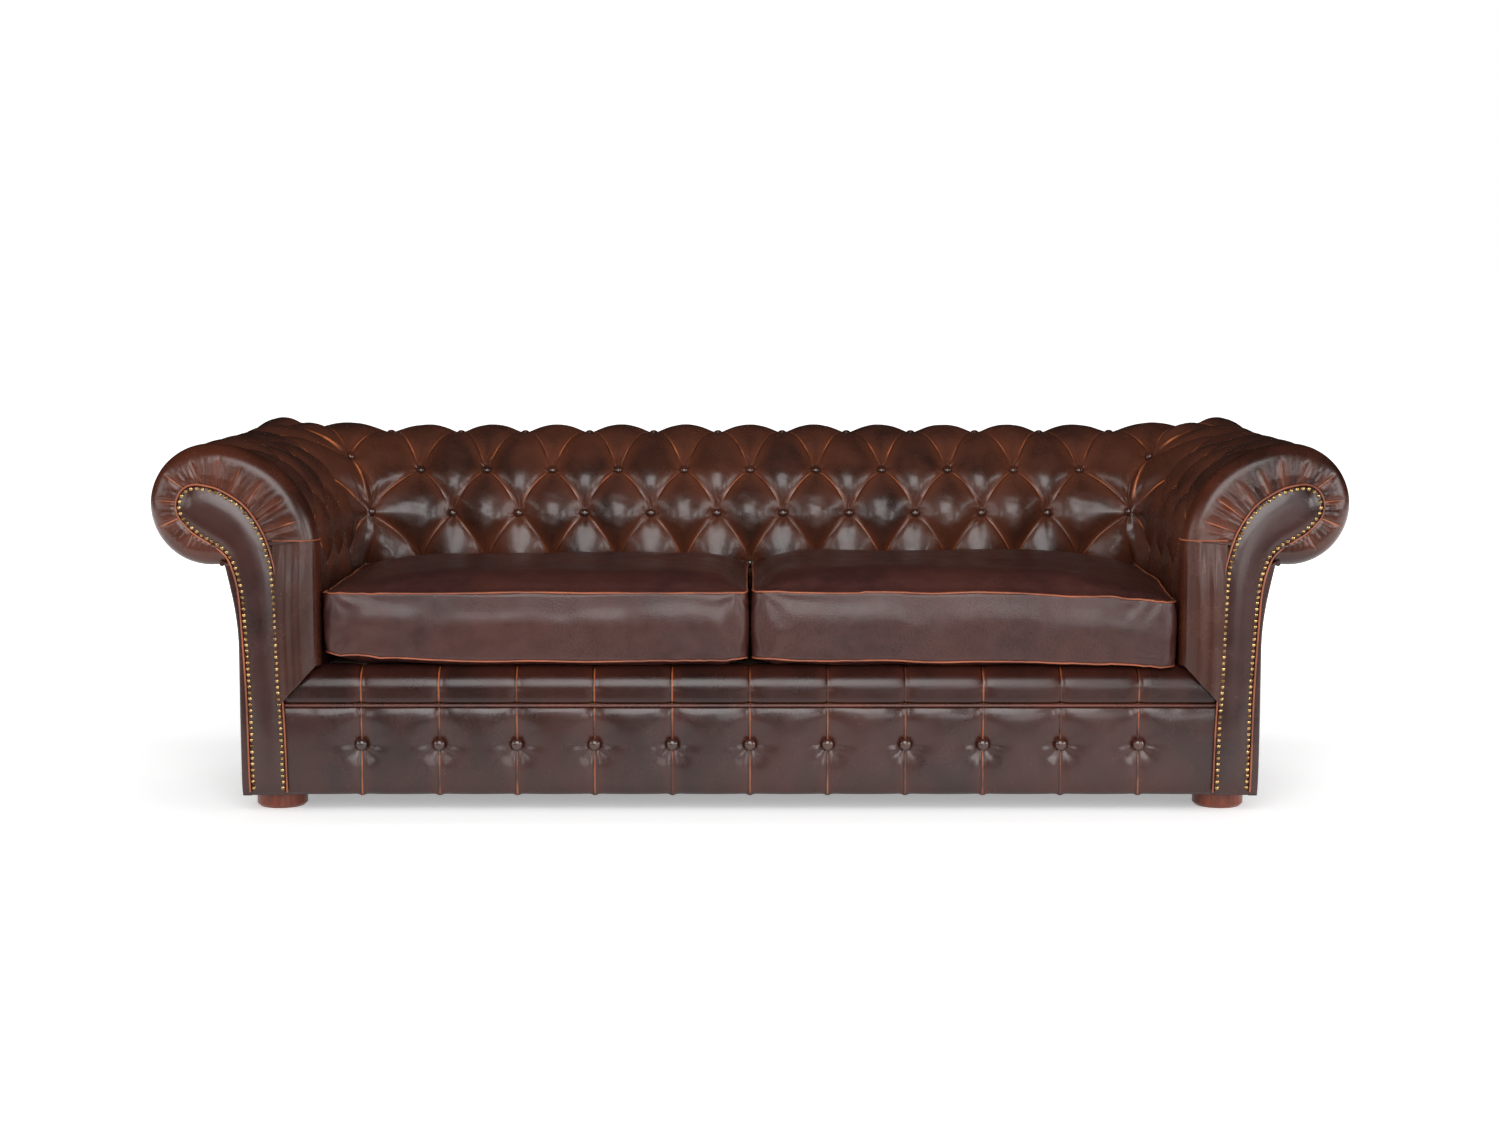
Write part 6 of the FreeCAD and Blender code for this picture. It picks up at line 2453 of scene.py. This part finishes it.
    def dust_cloth(self) -> None:
        """The thin cloth stretched under the rails."""
        x, y = np.meshgrid(
            np.linspace(-self.cloth_end, self.cloth_end, 61), np.linspace(self.cloth_front, self.cloth_rear, 25)
        )
        across, deep = x / self.cloth_end, (y + 0.074) / 0.365
        middle = np.clip(1 - across**2, 0, 1) * np.clip(1 - deep**2, 0, 1)
        z = self.cloth_height - self.cloth_sag * middle
        mesh = grid_mesh("dust_cloth", np.stack((x, y, z), -1), flipped=True)
        piece = self.workshop.piece(mesh, Finish.DUST, self.cloth_thickness)
        finish_piece(piece, Body.FRAME, ["dust_cover"])


# Studio


@dataclass(frozen=True)
class Lamp:
    """A large soft lamp, with its power in watts."""

    name: str
    place: tuple[float, float, float]
    target: tuple[float, float, float]
    size: tuple[float, float]
    power: float
    glossy: bool = True

    def build(self) -> None:
        """Adds the lamp."""
        data = bpy.data.lights.new(self.name, "AREA")
        data.shape = "RECTANGLE"
        data.size, data.size_y = self.size
        data.energy = self.power
        lamp = bpy.data.objects.new(self.name, data)
        bpy.context.scene.collection.objects.link(lamp)
        lamp.location = self.place
        direction = Vector(self.target) - Vector(self.place)
        lamp.rotation_euler = direction.to_track_quat("-Z", "Y").to_euler()
        lamp.visible_glossy = self.glossy


LAMPS = (
    Lamp("key", (-0.2, -4.6, 2.3), (0.0, 0.0, 0.45), (3.0, 2.8), 142.0),
    Lamp("left", (-3.7, -1.9, 1.2), (0.6, -0.2, 0.5), (2.2, 1.5), 29.0),
    Lamp("right", (3.7, -1.9, 1.2), (-0.6, -0.2, 0.5), (2.2, 1.5), 50.0),
    Lamp("low", (1.05, -4.8, 0.45), (0.4, 0.0, 0.34), (1.5, 0.8), 14.0),
    Lamp("front_left", (-3.3, -4.5, 0.9), (-0.7, 0.0, 0.4), (0.9, 1.3), 16.0),
    Lamp("front_right", (3.3, -4.5, 0.9), (0.7, 0.0, 0.4), (0.9, 1.3), 31.0),
    Lamp("top", (0.0, 0.6, 3.3), (0.0, 0.0, 0.0), (3.4, 1.0), 20.0, glossy=False),
    Lamp("rear", (0.0, 4.6, 1.5), (0.0, 0.3, 0.4), (4.0, 2.0), 110.0, glossy=False),
)


@dataclass
class Studio:
    """The floor, the lamps, the world and the camera."""

    lens: float = 62.1
    sensor: float = 36.0
    height: float = 1.0
    distance: float = 5.47
    pitch: float = 5.75
    ambient: float = 0.32
    floor_half: float = 30.0
    room_half: float = 7.0
    room_behind: float = -8.0
    room_height: float = 6.0
    room_floor: float = 0.001
    floor_back: float = -1.4

    def build(self) -> None:
        """Builds the studio."""
        self.floor()
        self.dark_room()
        self.world()
        for lamp in LAMPS:
            lamp.build()
        self.camera()
        bpy.context.scene.view_settings.view_transform = "Standard"

    def camera(self) -> None:
        """The camera in front of the sofa, as in the photo."""
        data = bpy.data.cameras.new("camera")
        data.lens = self.lens
        data.sensor_width = self.sensor
        camera = bpy.data.objects.new("camera", data)
        bpy.context.scene.collection.objects.link(camera)
        camera.location = (0.0, -self.distance, self.height)
        camera.rotation_euler = (math.radians(90 - self.pitch), 0.0, 0.0)
        bpy.context.scene.camera = camera

    @staticmethod
    def seen(graph: Graph) -> Socket:
        """1 for the rays that show a surface itself, and 0 for those that light others.

        Args:
            graph: The graph to add it to.

        Returns:
            The value.
        """
        rays = graph.add("ShaderNodeLightPath")
        seen = graph.math("MAXIMUM", rays.outputs["Is Camera Ray"], rays.outputs["Is Glossy Ray"])
        return graph.math("MAXIMUM", seen, rays.outputs["Is Transmission Ray"])

    @staticmethod
    def matt(name: str, shade: float, roughness: float) -> tuple[Material, Graph, Node]:
        """Starts a grey material with no gloss, as start_material does.

        Args:
            name: The material's name.
            shade: Its grey.
            roughness: Its roughness.

        Returns:
            The material, a graph on it and its main shader.
        """
        material, graph, shader = start_material(name)
        shader.inputs["Base Color"].default_value = (shade, shade, shade, 1.0)
        shader.inputs["Roughness"].default_value = roughness
        shader.inputs["Specular IOR Level"].default_value = 0.0
        return material, graph, shader

    def floor(self) -> None:
        """A white floor that keeps the shadow."""
        half = self.floor_half
        corners = np.array([(x, y, 0.0) for x, y in ((-half, -half), (half, -half), (half, half), (-half, half))])
        plane = new_object("floor", new_mesh("floor", corners, [(0, 1, 2, 3)]))
        material, graph, shader = self.matt("white floor", 0.9, 0.9)
        distance = graph.add("ShaderNodeVectorMath", {0: graph.place()}, operation="LENGTH")
        far = graph.ramp(distance.outputs["Value"], 1.4, 2.9, 0.36, 1.0)
        strength = graph.product(self.seen(graph), far)
        glow = graph.add("ShaderNodeEmission", {"Color": (1, 1, 1, 1), "Strength": strength})
        both = graph.add("ShaderNodeAddShader", {0: shader.outputs[0], 1: glow.outputs[0]})
        graph.link(both.outputs[0], graph.tree.nodes["Material Output"].inputs["Surface"])
        plane.data.materials.append(material)
        plane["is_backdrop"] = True

    def world(self) -> None:
        """A white background that lights the sofa more softly than it shows."""
        world = bpy.data.worlds.new("studio")
        bpy.context.scene.world = world
        world.use_nodes = True
        graph = Graph(world.node_tree)
        background = world.node_tree.nodes["Background"]
        background.inputs["Color"].default_value = (1, 1, 1, 1)
        graph.link(graph.ramp(self.seen(graph), 0.0, 1.0, self.ambient, 1.0), background.inputs["Strength"])

    def dark_room(self) -> None:
        """Unlit walls and a ceiling round the sofa, and a strip of floor in front, seen only in its gloss."""
        half, behind, low = self.room_half, self.room_behind, self.room_floor
        walls = ((-half, half), (-half, behind), (half, behind), (half, half))
        corners = [(x, y, z) for z in (low, self.room_height) for x, y in walls]
        corners += [(-half, self.floor_back, low), (half, self.floor_back, low)]
        faces = [(0, 1, 5, 4), (1, 2, 6, 5), (2, 3, 7, 6), (3, 0, 4, 7), (4, 5, 6, 7), (8, 1, 2, 9)]
        room = new_object("dark_room", new_mesh("dark_room", np.array(corners, float), faces))
        room.data.materials.append(self.matt("unlit wall", 0.02, 1.0)[0])
        room.visible_camera = False
        room.visible_diffuse = False
        room.visible_transmission = False
        room.visible_shadow = False
        room.visible_volume_scatter = False
        room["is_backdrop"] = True


def build_arms(workshop: Workshop) -> None:
    """Builds the padding and the buttons of both arms, and then their fronts.

    Args:
        workshop: The workshop that makes the pieces.
    """
    pads, places = [], []
    for side in Side:
        arm = TuftedArm(workshop, side=side)
        pads.append(arm.build())
        places += arm.buttons()
    for pad in pads:
        finish_piece(pad, Body.FRAME, ["arm_tufted_pads"])
    buttons = workshop.heads("arm_buttons", places, Finish.BUTTON, TUFT_BUTTON)
    finish_piece(buttons, Body.FRAME, ["arm_tuft_buttons"])
    for side in Side:
        Facing(workshop, side).build()
        finish_piece(FrontRoll(workshop, side).build(), Body.FRAME, ["arm_front_rolls"])
        panel = ArmFrontPanel(workshop, side).build()
        finish_piece(panel, Body.FRAME, ["arm_front_panels"])


def main() -> None:
    """Builds the sofa over its frame, and the studio round it."""
    logging.basicConfig(level=logging.INFO, format="%(name)s: %(message)s")
    wardrobe = Wardrobe()
    workshop = Workshop(wardrobe)
    wardrobe.dress_nodes()
    Studio().build()
    TuftedBack(workshop).build()
    build_arms(workshop)
    SeatFront(workshop).build()
    SeatCushion(workshop, Side.LEFT).build()
    SeatCushion(workshop, Side.RIGHT, crown=0.036, outer_lift=0.006, sag=0.019).build()
    PlainCovers(workshop).build()
    visual = [list(corner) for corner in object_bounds()]
    {"cad": [[float(v) for v in c] for c in CAD_BOX], "visual": [[float(v) for v in c] for c in visual]}


if __name__ == "__main__":
    main()
